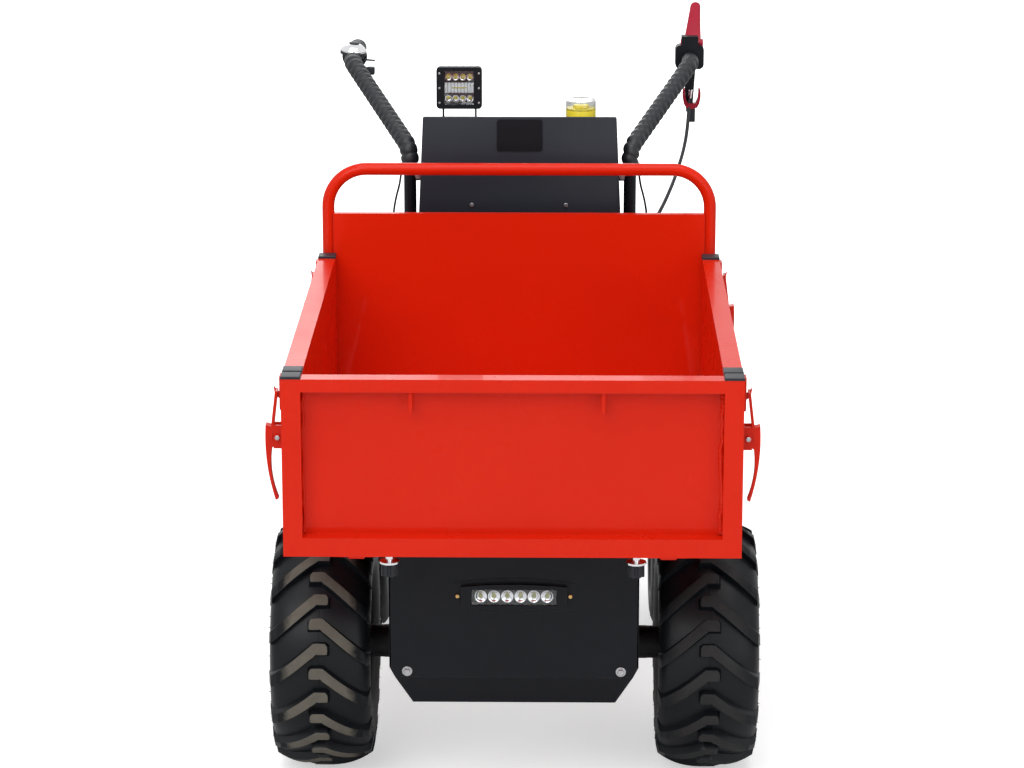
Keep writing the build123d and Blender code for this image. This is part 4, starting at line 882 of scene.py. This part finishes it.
sleeveSet = {
    "lowRun": 25.0, "bend": (194.0, 1000.0, 905.0), "flare": (307.0, 1215.0, 1022.0), "end": 1246.0,
    "bendRadius": 0.034, "flareRadius": 0.045, "step": 0.0016, "radius": {"left": 0.0152, "right": 0.0144},
    "bellowsPitch": 0.0146, "bellowsDepth": 0.0030, "bellowsCrest": 0.4, "bellowsMiddle": 0.75,
    "wrapPitch": 0.0160, "wrapDepth": 0.0036, "wrapCrest": 0.6, "wrapMiddle": 0.7, "crossing": 0.35,
    "segments": 36,
}


def bentLine(first, corner, last, radius, step):
    arriving = (corner - first).normalized()
    leaving = (last - corner).normalized()
    turn = arriving.angle(leaving)
    cut = radius * math.tan(turn / 2)
    start = corner - arriving * cut
    inward = (leaving - arriving * leaving.dot(arriving)).normalized()
    centre = start + inward * radius
    points = []
    count = max(int((start - first).length / step), 1)
    points += [first.lerp(start, index / count) for index in range(count)]
    count = max(int(radius * turn / step), 4)
    for index in range(count):
        angle = turn * index / count
        points.append(centre - inward * radius * math.cos(angle) + arriving * radius * math.sin(angle))
    end = corner + leaving * cut
    count = max(int((last - end).length / step), 1)
    points += [end.lerp(last, index / count) for index in range(count + 1)]
    return points


def addSleeves(values):
    for side, name in ((-1, "left"), (1, "right")):
        x, depth, z = values["bend"]
        corner = spot(side * x, depth, z)
        flare = spot(side * values["flare"][0], *values["flare"][1:])
        first = spot(side * x, depth, z - values["lowRun"])
        middle = corner.lerp(flare, 0.5)
        last = spot(side * values["flare"][0], values["end"], values["flare"][2])
        points = bentLine(first, corner, middle, values["bendRadius"], values["step"])[:-1]
        points += bentLine(middle, flare, last, values["flareRadius"], values["step"])

        def bellows(index, angle):
            wave = abs(math.sin(math.pi * index * values["step"] / values["bellowsPitch"]))
            rise = wave ** values["bellowsCrest"] - values["bellowsMiddle"]
            return values["radius"][name] + values["bellowsDepth"] * rise

        def wrap(index, angle):
            turns = index * values["step"] / values["wrapPitch"]
            share = angle / (2 * math.pi)
            over = abs(math.sin(math.pi * (turns + share))) ** values["wrapCrest"]
            under = abs(math.sin(math.pi * (turns - share))) ** values["wrapCrest"]
            rise = over * (1 - values["crossing"]) + under * values["crossing"] - values["wrapMiddle"]
            return values["radius"][name] + values["wrapDepth"] * rise

        ribbed = bellows if side < 0 else wrap
        mesh = meshFrom(f"sleeve{name}", lambda shape: addTube(shape, points, ribbed, values["segments"]))
        piece = addPiece(f"barSleeve.{name}", mesh, "softRubber", "chassis")
        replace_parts(piece, f"sleeve_{name}")


addSleeves(sleeveSet)

# Grips: ribbed rubber with a flange at the front and a domed end

gripSet = {
    "x": 307.0, "z": 1022.0, "near": 1284.0, "far": 1390.0, "flange": 23.0, "flangeThick": 4.0, "round": 1.0,
    "rib": 16.5, "pitch": 5.3, "firstRib": 8.0, "plainEnd": 10.0, "barRadius": 11.2,
    "ribShape": ((0.0, -1.3), (1.0, -1.3), (1.8, -0.2), (2.6, 0.0), (3.9, 0.0), (4.5, -0.2)),
    "endShape": ((-5.0, 0.0), (-2.0, -0.6), (-0.6, -3.0), (0.0, -7.0), (0.0, -14.5)), "segments": 48,
}


def gripProfile(values):
    length, rib, edge = values["far"] - values["near"], values["rib"], values["round"]
    flange, thick = values["flange"], values["flangeThick"]
    profile = [
        (0, values["barRadius"]), (0.2, flange - edge), (1.2, flange), (thick - edge, flange),
        (thick, flange - edge), (thick + edge, rib + edge),
    ]
    offset = values["firstRib"]
    while offset < length - values["plainEnd"]:
        profile += [(offset + along, rib + rise) for along, rise in values["ribShape"]]
        offset += values["pitch"]
    return profile + [(length + along, rib + rise) for along, rise in values["endShape"]]


def addGrips(values):
    profile = gripProfile(values)
    for side, name in ((-1, "left"), (1, "right")):
        centre = spot(side * values["x"], values["near"], values["z"])
        mesh = turnedMesh(f"grip{name}", centre, rear, profile, values["segments"])
        piece = addPiece(f"handGrip.{name}", mesh, "softRubber", "chassis")
        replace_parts(piece, f"grip_{name}")


addGrips(gripSet)
print("sleeves and grips on the handlebars")

# Held cables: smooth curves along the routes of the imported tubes

cableSet = {
    "release_cable": (0.0033, (
        (307.0, 1239.7, 952.2), (304.0, 1222.0, 905.0), (296.0, 1180.0, 872.0), (284.0, 1132.0, 845.0),
        (270.0, 1080.0, 820.0), (248.0, 1020.0, 787.0), (215.0, 972.0, 745.0), (170.0, 936.0, 690.0),
        (118.0, 922.0, 620.0), (64.0, 920.0, 552.0), (12.0, 919.0, 512.0), (0.0, 917.0, 468.3),
    )),
    "switch_lead_right": (0.0019, (
        (209.0, 1000.0, 880.0), (210.0, 1002.0, 850.0), (221.0, 1008.0, 812.0), (226.0, 1014.0, 775.0),
        (215.0, 1020.0, 732.0), (194.0, 1024.0, 702.0), (177.0, 1026.0, 694.0),
    )),
    "switch_lead_left": (0.0019, (
        (-209.0, 1000.0, 880.0), (-210.0, 1002.0, 850.0), (-221.0, 1008.0, 812.0), (-226.0, 1014.0, 775.0),
        (-215.0, 1020.0, 732.0), (-194.0, 1024.0, 702.0), (-177.0, 1026.0, 694.0),
    )),
}


def addCables(cables):
    for name, (radius, route) in cables.items():
        curve = bpy.data.curves.new(name + "Line", "CURVE")
        curve.dimensions = "3D"
        curve.bevel_depth = radius
        curve.bevel_resolution = 4
        curve.resolution_u = 8
        curve.use_fill_caps = True
        spline = curve.splines.new("NURBS")
        spline.points.add(len(route) - 1)
        for point, place in zip(spline.points, route):
            point.co = (*spot(*place), 1.0)
        spline.order_u = 3
        spline.use_endpoint_u = True
        piece = bpy.data.objects.new(name + ".line", curve)
        curve.materials.append(materials["softRubber"])
        bpy.context.scene.collection.objects.link(piece)
        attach(piece, "chassis")
        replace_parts(piece, name)


addCables(cableSet)
print("cables run")

# Light bar: a white reflector with six round diodes behind a clear window

lightBarSet = {
    "centre": (0.0, 350.0), "window": (133.4, 25.4), "back": 187.6, "plateThick": 0.2,
    "count": 6, "pitch": 20.6, "cup": 9.6, "cupDeep": 3.4, "chip": 3.4, "chipTall": 2.6, "chipSeat": 0.6,
    "glass": (180.4, 181.6),
}
cupShape = ((1.0, 1.0), (1.0, 0.94), (0.55, 0.72), (0.2, 0.45), (0.15, 0.30))
domeRings = 6


def addCup(shape, centre, radius, deep):
    profile = [(-1.0, radius)] + [(deep * tall, radius * wide) for tall, wide in cupShape]
    addLathe(shape, centre, front, profile, 32)


def addDome(shape, centre, radius, tall):
    angles = [math.pi / 2 * index / domeRings for index in range(domeRings)]
    rings = [(tall * math.sin(angle), radius * math.cos(angle)) for angle in angles]
    addLathe(shape, centre, front, [(-0.5, radius), *rings, (tall, radius * 0.08)], 24)


# A thin block across a lamp's window, between two depths
def windowBlock(shape, values, near, far, edge, segments=2):
    x, z = values["centre"]
    halfWide, halfTall = values["window"][0] / 2, values["window"][1] / 2
    low, high = spot(x - halfWide, near, z - halfTall), spot(x + halfWide, far, z + halfTall)
    roundedBlock(shape, low, high, edge, segments)


def addLightBar(values):
    x, z = values["centre"]
    middle = (values["count"] - 1) / 2
    places = [x + values["pitch"] * (index - middle) for index in range(values["count"])]

    def plate(shape):
        windowBlock(shape, values, values["back"], values["back"] + values["plateThick"], 0.0001, 1)

    def cups(shape):
        for place in places:
            addCup(shape, spot(place, values["back"], z), values["cup"], values["cupDeep"])

    def chips(shape):
        for place in places:
            seat = spot(place, values["back"] - values["chipSeat"], z)
            addDome(shape, seat, values["chip"], values["chipTall"])

    def glass(shape):
        windowBlock(shape, values, *values["glass"], 0.0004)

    addPiece("lightReflector", meshFrom("lightReflector", plate), "whiteReflector", "chassis")
    addPiece("lightCups", meshFrom("lightCups", cups), "chromePlate", "chassis")
    addPiece("lightDiodes", meshFrom("lightDiodes", chips), "diode", "chassis")
    window = addPiece("lightWindow", meshFrom("lightWindow", glass), "clearLens", "chassis")
    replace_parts(window, "light_bar_lens")


addLightBar(lightBarSet)

# Work lamp: a row of cups above and one below a ribbed strip, behind a clear window

workLampSet = {
    "centre": (-106.5, 1015.0), "window": (51.6, 59.6), "back": 995.6, "plateThick": 0.3, "cup": 6.072,
    "cupDeep": 3.0, "chip": 4.2, "chipTall": 1.8, "chipSeat": 0.5, "chipDrop": 1.6,
    "columns": (-18.6, -6.2, 6.2, 18.6), "rows": (-19.0, 19.0), "glass": (991.2, 992.2),
    "strip": 9.0, "stripDepths": (3.2, 0.2), "ribs": 9, "ribGap": 0.3, "ribEdge": 0.0012,
    "line": (12.9, 1.0), "lineDepths": (3.6, 3.1),
}


def addWorkLamp(values):
    x, z = values["centre"]
    back, halfWide = values["back"], values["window"][0] / 2
    places = [(x + column, row) for row in values["rows"] for column in values["columns"]]

    def plate(shape):
        windowBlock(shape, values, back, back + values["plateThick"], 0.0001, 1)

    def cups(shape):
        for column, row in places:
            addCup(shape, spot(column, back, z + row), values["cup"], values["cupDeep"])

    def chips(shape):
        for column, row in places:
            drop = math.copysign(values["chipDrop"], row)
            seat = spot(column, back - values["chipSeat"], z + row - drop)
            addDome(shape, seat, values["chip"], values["chipTall"])
        half, tall = values["line"]
        near, far = [back - depth for depth in values["lineDepths"]]
        roundedBlock(shape, spot(x - half, near, z - tall), spot(x + half, far, z + tall), 0.0002, 1)

    def strip(shape):
        pitch = 2 * halfWide / values["ribs"]
        near, far = [back - depth for depth in values["stripDepths"]]
        for index in range(values["ribs"]):
            low = x - halfWide + index * pitch + values["ribGap"]
            high = low + pitch - 2 * values["ribGap"]
            roundedBlock(shape, spot(low, near, z - values["strip"]), spot(high, far, z + values["strip"]),
                         values["ribEdge"], 3)

    def glass(shape):
        windowBlock(shape, values, *values["glass"], 0.0003)

    addPiece("lampReflector", meshFrom("lampReflector", plate), "blackPlastic", "chassis")
    addPiece("lampCups", meshFrom("lampCups", cups), "chromePlate", "chassis")
    addPiece("lampDiodes", meshFrom("lampDiodes", chips), "amberDiode", "chassis")
    addPiece("lampStrip", meshFrom("lampStrip", strip), "whiteReflector", "chassis")
    window = addPiece("lampWindow", meshFrom("lampWindow", glass), "clearLens", "chassis")
    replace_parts(window, "work_lamp_lens")


addWorkLamp(workLampSet)
print("lamps filled")

# Bolts and screws: body, finish, slot, axis, size across, washer, sides and places

motorBoltCircle = 38.0
fastenerSet = {
    "coverBolts": ("chassis", "zincPlate", "chrome", front, 10.0, 16.0, 6, [
        (-168.5, 187.0, 224.5), (168.5, 187.0, 224.5),
    ]),
    "lightScrews": ("chassis", "brassScrew", "chrome", front, 6.0, 0.0, 12, [
        (-88.5, 186.0, 350.0), (88.5, 186.0, 350.0),
    ]),
    "consoleScrews": ("chassis", "zincPlate", "chrome", front, 6.5, 0.0, 12, [
        (-83.8, 950.0, 815.0), (81.0, 950.0, 815.0), (-80.5, 950.0, 480.0), (80.5, 950.0, 480.0),
    ]),
    "tabBolts": ("chassis", "zincPlate", "chrome", front, 9.0, 15.0, 6, [
        (-181.0, 996.0, 859.0), (181.0, 996.0, 859.0),
    ]),
    "accessScrews": ("chassis", "zincPlate", "chrome", rear, 7.0, 12.0, 12, [
        (side * 140.0, housingSet["rear"] + accessSet["proud"], z)
        for side in (-1, 1) for z in (490.0, 625.0, 760.0)
    ]),
    "motorBolts": ("chassis", "zincPlate", "chrome", front, 9.0, 0.0, 6, [
        (motorBoltCircle * math.cos(angle), 222.0, 213.0 + motorBoltCircle * math.sin(angle))
        for angle in [math.pi * (0.25 + 0.5 * turn) for turn in range(4)]
    ]),
    "latchBolts.left": ("side_left", "zincPlate", "chrome", front, 7.0, 0.0, 6, [
        (-353.5, 36.0, 650.0), (-353.5, 807.0, 650.0),
    ]),
    "latchBolts.right": ("side_right", "zincPlate", "chrome", front, 7.0, 0.0, 6, [
        (353.5, 36.0, 650.0), (353.5, 807.0, 650.0),
    ]),
    "lampScrews": ("chassis", "zincPlate", "chrome", front, 3.4, 0.0, 12, [
        (workLampSet["centre"][0] + side * 34.5, 989.0, workLampSet["centre"][1] + lift)
        for side in (-1, 1) for lift in (-26.0, 0.0, 26.0)
    ]),
}


def addFasteners(groups):
    for name, (body, finish, slot, axis, across, washer, sides, places) in groups.items():
        def bolts(shape):
            for place in places:
                addBolt(shape, spot(*place), axis, across, washer, 0.5, sides)
        addPiece(name, meshFrom(name, bolts), finish, body, smooth=False)


addFasteners(fastenerSet)

# Wheel bolts, hub caps and valve stems

trimSet = {
    "driveFace": 18.0, "studs": 5, "studCircle": 56.0, "studTurn": 0.3, "stud": (14.0, 21.0, 0.7),
    "hubEnd": 44.0, "hub": (22.0, 0.0, 0.5), "stemRise": 82.0,
    "stem": ((0, 4.6), (6, 4.2), (8, 3.0), (20, 3.0), (20.5, 3.9), (28, 3.9), (29, 3.0)),
    "casterFace": 81.0, "casterNut": (17.0, 0.0, 0.5),
    "kingpin": (1004.0, 464.0), "kingpinNut": (15.0, 0.0, 0.5),
}


def addWheelTrim(values):
    for side, name in ((-1, "left"), (1, "right")):
        outward = acrossX * side

        def driveTrim(shape):
            face = wheelCentre(driveSet, side, values["driveFace"])
            for index in range(values["studs"]):
                angle = 2 * math.pi * index / values["studs"] + values["studTurn"]
                way = Vector((0, math.cos(angle), math.sin(angle)))
                addBolt(shape, face + way * values["studCircle"] / 1000.0, outward, *values["stud"])
            addBolt(shape, wheelCentre(driveSet, side, values["hubEnd"]), outward, *values["hub"])
            addLathe(shape, face + rear * values["stemRise"] / 1000.0, outward, values["stem"], 16)

        def casterTrim(shape):
            centre = wheelCentre(casterSet, side)
            for way in (-1, 1):
                place = centre + acrossX * way * values["casterFace"] / 1000.0
                addBolt(shape, place, acrossX * way, *values["casterNut"])
            addBolt(shape, spot(side * casterSet["x"], *values["kingpin"]), up, *values["kingpinNut"])

        addPiece(f"driveTrim.{name}", meshFrom(f"driveTrim{name}", driveTrim), "zincPlate",
                 f"drive_wheel_{name}", smooth=False)
        addPiece(f"casterTrim.{name}", meshFrom(f"casterTrim{name}", casterTrim), "zincPlate",
                 f"caster_{name}", smooth=False)


addWheelTrim(trimSet)
print("fasteners on")

# Caps on the open ends of the wall tubes: a crowned top with a thin skirt line

capSet = {
    "bodies": {"gate_caps": "gate", "side_caps_left": "side_left", "side_caps_right": "side_right"},
    "wide": 0.0306, "inset": 0.0006, "bevel": 0.0013, "lift": 0.0001,
    "skirt": 0.0011, "skirtLap": 0.0003, "skirtEdge": 0.0004,
}


def addCaps(values):
    wide, inset = values["wide"], values["inset"]
    for name, body in values["bodies"].items():
        low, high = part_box(name)
        along = (high.x - wide - low.x, 0, 0) if body == "gate" else (0, high.y - wide - low.y, 0)

        def caps(shape):
            for corner in (low, low + Vector(along)):
                inner = corner + Vector((inset, inset, values["skirt"]))
                outer = Vector((corner.x + wide - inset, corner.y + wide - inset, high.z))
                roundedBlock(shape, inner, outer, values["bevel"], 3)
                lap = low.z + values["skirt"] + values["skirtLap"]
                brim = Vector((corner.x + wide, corner.y + wide, lap))
                roundedBlock(shape, corner + up * values["lift"], brim, values["skirtEdge"], 2)

        mesh = meshFrom("tubeCaps" + body, caps)
        piece = addPiece("tubeCaps." + body, mesh, "blackPlastic", body)
        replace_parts(piece, name)


addCaps(capSet)

# Drive tyres: a round carcass and two staggered rows of lugs, worn pale on top, with painted light on the
# left tyre's lug tops and painted shade on the right's

tyreSet = {
    "segments": 144, "lugs": 16, "phases": {1: -7.2, -1: 4.05}, "middle": 190.4, "deepest": 74.0, "sunk": 1.5,
    "carcass": (
        (59.6, 102.2), (62.6, 111.2), (66.0, 113.0), (71.5, 118.5), (76.6, 127.0), (79.6, 137.0),
        (80.4, 146.0), (79.8, 156.0), (77.8, 165.0), (74.2, 172.5), (69.0, 177.6), (61.0, 181.6),
        (51.0, 184.8), (39.0, 187.4), (26.0, 189.2), (12.0, 190.2),
    ),
    "crown": 203.0, "fall": 18.0, "fallAt": 73.0, "fallPower": 2.5,
    "headEnd": 15.0, "headHalf": 9.0, "cornerLong": 3.5, "cornerTall": 5.0, "lowBend": 3.0, "highBend": 7.7,
    "slope": 0.85, "draft": 3.0, "bareTo": 66.9,
    "legStations": (14.0, 22.0, 32.0, 41.0, 50.0, 59.0, 67.0, 73.0, 76.6),
    "shoulder": ((79.3, 171.0, 74.0, 158.0), (81.0, 156.0, 76.0, 146.0)), "edgeRound": 0.0007,
}


def carcassRadius(values, across):
    points = [(0.0, values["middle"]), *reversed(values["carcass"])]
    for (near, high), (far, low) in zip(points, points[1:]):
        if near <= across <= far:
            return high + (low - high) * (across - near) / (far - near)
    return values["carcass"][-1][1]


def lugStations(values):
    half, low, high = values["headHalf"], values["lowBend"], values["highBend"]
    slope, head = values["slope"], values["headEnd"]
    spans = [
        (-head, -half, half - values["cornerTall"]), (values["cornerLong"] - head, -half, half),
        (0.0, -half, half), (low, -half, half), (high, -half - slope * (high - low), half),
    ]
    for leg in values["legStations"]:
        spans.append((leg, -half - slope * (leg - low), half - slope * (leg - high)))
    stations = []
    for across, under, over in spans:
        top = values["crown"] - values["fall"] * (abs(across) / values["fallAt"]) ** values["fallPower"]
        root = across - values["draft"] if across == -head else across
        base = carcassRadius(values, min(abs(across), values["deepest"])) - values["sunk"]
        stations.append((across, top, root, base, under, over))
    return stations + [(*place, under, over) for place in values["shoulder"]]


def addLug(shape, centre, outward, phase, values):
    def place(across, along, radius):
        angle = phase + along / values["crown"]
        offset = Vector((outward * across, -radius * math.cos(angle), radius * math.sin(angle)))
        return shape.verts.new(centre + offset / 1000.0)

    rings, bare, tops = [], [], []
    for across, top, root, base, under, over in lugStations(values):
        rings.append([
            place(root, under - values["draft"], base), place(across, under, top),
            place(across, (under + over) / 2, top), place(across, over, top),
            place(root, over + values["draft"], base),
        ])
        bare.append(across < values["bareTo"])
    for index, (first, second) in enumerate(zip(rings, rings[1:])):
        for step in range(5):
            after = (step + 1) % 5
            face = shape.faces.new((first[step], first[after], second[after], second[step]))
            if step in (1, 2) and bare[index]:
                face.material_index = 1
    shape.faces.new(rings[0][::-1])
    shape.faces.new(rings[-1])
    for first, second in zip(rings, rings[1:]):
        tops += [shape.edges.get((first[1], second[1])), shape.edges.get((first[3], second[3]))]
    tops += [shape.edges.get((rings[0][step], rings[0][step + 1])) for step in (1, 2)]
    return tops


def addTyres(values):
    for side, name in ((-1, "left"), (1, "right")):
        centre = wheelCentre(driveSet, side)

        def tyre(shape):
            profile = mirrored(values["carcass"])
            profile.insert(len(values["carcass"]), (0.0, values["middle"]))
            addLathe(shape, centre, acrossX, profile, values["segments"], True)
            edges = []
            for row, phase in values["phases"].items():
                for index in range(values["lugs"]):
                    angle = math.radians(phase) + 2 * math.pi * index / values["lugs"]
                    edges += addLug(shape, centre, side * row, angle, values)
            bmesh.ops.bevel(shape, geom=edges, offset=values["edgeRound"], segments=2, profile=0.6,
                            affect="EDGES")

        piece = addPiece(f"lugTyre.{name}", meshFrom(f"lugTyre{name}", tyre), "tyreRubber",
                         f"drive_wheel_{name}")
        # Lug tops take their side's copy of the worn rubber: painted light on the left, painted shade on the
        # right
        piece.data.materials.append(materials["lugRubber." + name])
        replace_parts(piece, f"drive_tyre_{name}")


addTyres(tyreSet)
print("drive tyres on")

# Mould lines and hairs on the drive tyres

mouldSet = {
    "seed": 5, "lineRadius": 190.6, "lineSteps": 96, "lineThick": 0.0007,
    "edgeHairs": 84, "edgeAcross": 0.0785, "edgeRadii": (0.152, 0.166), "edgeLong": (0.003, 0.0048),
    "edgeThick": (0.0006, 0.0005, 0.0003),
    "hairs": 110, "hairReach": 70.0, "hairRoot": 0.6, "hairLong": 4.0, "hairThick": (0.0004, 0.0003, 0.00015),
}


def aroundX(angle):
    return Vector((0, math.cos(angle), math.sin(angle)))


def addHair(shape, root, tip, thick):
    addTube(shape, [root, root.lerp(tip, 0.5), tip], thick, 5)


def addMouldMarks(values):
    draw = random.Random(values["seed"])
    for side, name in ((-1, "left"), (1, "right")):
        centre = wheelCentre(driveSet, side)

        def marks(shape):
            steps = values["lineSteps"]
            radius = values["lineRadius"] / 1000.0
            ring = [centre + aroundX(2 * math.pi * step / steps) * radius for step in range(steps + 1)]
            addTube(shape, ring, [values["lineThick"]] * len(ring), 6, False)
            for index in range(values["edgeHairs"]):
                share = (index // 2 + draw.uniform(-0.2, 0.2)) * 2 / values["edgeHairs"]
                outward = aroundX(2 * math.pi * share)
                way = acrossX * (index % 2 * 2 - 1)
                root = centre + way * values["edgeAcross"] + outward * draw.uniform(*values["edgeRadii"])
                lean = (way + outward * draw.uniform(0.1, 0.8)).normalized()
                addHair(shape, root, root + lean * draw.uniform(*values["edgeLong"]), values["edgeThick"])
            for index in range(values["hairs"]):
                outward = aroundX(draw.uniform(0, 2 * math.pi))
                across = draw.uniform(-values["hairReach"], values["hairReach"])
                radius = carcassRadius(tyreSet, abs(across)) - values["hairRoot"]
                root = centre + (acrossX * across + outward * radius) / 1000.0
                stray = Vector((draw.uniform(-1, 1), draw.uniform(-0.5, 0.5), draw.uniform(-0.5, 0.5)))
                lean = (outward * 0.8 + stray * 0.5).normalized()
                tip = root + lean * draw.uniform(0.4, 1.0) * values["hairLong"] / 1000.0
                addHair(shape, root, tip, values["hairThick"])

        addPiece(f"mouldMarks.{name}", meshFrom(f"mouldMarks{name}", marks), "tyreRubber",
                 f"drive_wheel_{name}")


addMouldMarks(mouldSet)
print("caps and mould marks on")

# Studio: pale floor, soft lamps, white behind

studioSet = {
    "floorSize": 60.0,
    "floorColour": (0.86, 0.86, 0.86),
    "floorLift": 0.50, "farLift": 0.6, "fadeStart": 1.2, "fadeLong": 3.0,
    "worldLight": 0.46,
    "lamps": (
        ("keyLamp", (-2.2, -5.0, 4.2), 3.6, 150.0),
        ("fillLamp", (3.4, -4.8, 2.2), 3.2, 44.0),
        ("topLamp", (0.1, -0.9, 3.8), 2.6, 66.0),
        ("rearLamp", (-0.8, 4.0, 2.6), 2.4, 34.0),
    ),
    "lampAim": (0.0, 0.0, 0.55),
}


def addFloor(values):
    half = values["floorSize"] / 2
    corners = [(-half, -half, 0), (half, -half, 0), (half, half, 0), (-half, half, 0)]
    mesh = bpy.data.meshes.new("studioFloor")
    mesh.from_pydata(corners, [], [(0, 1, 2, 3)])
    floor = bpy.data.objects.new("studioFloor", mesh)
    bpy.context.scene.collection.objects.link(floor)
    material = bpy.data.materials.new("studioFloor")
    material.use_nodes = True
    mesh.materials.append(material)
    tree = material.node_tree
    shader = tree.nodes["Principled BSDF"]
    shader.inputs["Base Color"].default_value = rgba(values["floorColour"])
    shader.inputs["Roughness"].default_value = 0.9
    shader.inputs["Specular IOR Level"].default_value = 0.1
    shader.inputs["Emission Color"].default_value = (1.0, 1.0, 1.0, 1.0)
    place = addNode(tree, "ShaderNodeTexCoord").outputs["Object"]
    away = addNode(tree, "ShaderNodeVectorMath", {0: place}, operation="LENGTH").outputs["Value"]
    lift = ramp(tree, away, values["fadeStart"], values["farLift"] / values["fadeLong"])
    lift = mathNode(tree, "ADD", lift, values["floorLift"])
    seen = addNode(tree, "ShaderNodeLightPath").outputs["Is Camera Ray"]
    tree.links.new(mathNode(tree, "MULTIPLY", seen, lift), shader.inputs["Emission Strength"])


def addLamps(values):
    for name, place, size, power in values["lamps"]:
        data = bpy.data.lights.new(name, "AREA")
        data.size = size
        data.energy = power
        lamp = bpy.data.objects.new(name, data)
        lamp.location = place
        aim = Vector(values["lampAim"]) - Vector(place)
        lamp.rotation_euler = aim.to_track_quat("-Z", "Y").to_euler()
        bpy.context.scene.collection.objects.link(lamp)


# White behind, seen directly, in reflections and through clear parts, with less light on the object
def addWorld(values):
    world = bpy.data.worlds.new("studioWorld")
    world.use_nodes = True
    bpy.context.scene.world = world
    tree = world.node_tree
    path = addNode(tree, "ShaderNodeLightPath").outputs
    shown = mathNode(tree, "MAXIMUM", path["Is Glossy Ray"], path["Is Transmission Ray"])
    shown = mathNode(tree, "MAXIMUM", path["Is Camera Ray"], shown)
    level = mathNode(tree, "MULTIPLY", shown, 1.0 - values["worldLight"])
    level = mathNode(tree, "ADD", level, values["worldLight"])
    tree.links.new(level, tree.nodes["Background"].inputs["Strength"])
    tree.nodes["Background"].inputs["Color"].default_value = (1.0, 1.0, 1.0, 1.0)


addFloor(studioSet)
addLamps(studioSet)
addWorld(studioSet)
print("studio ready")
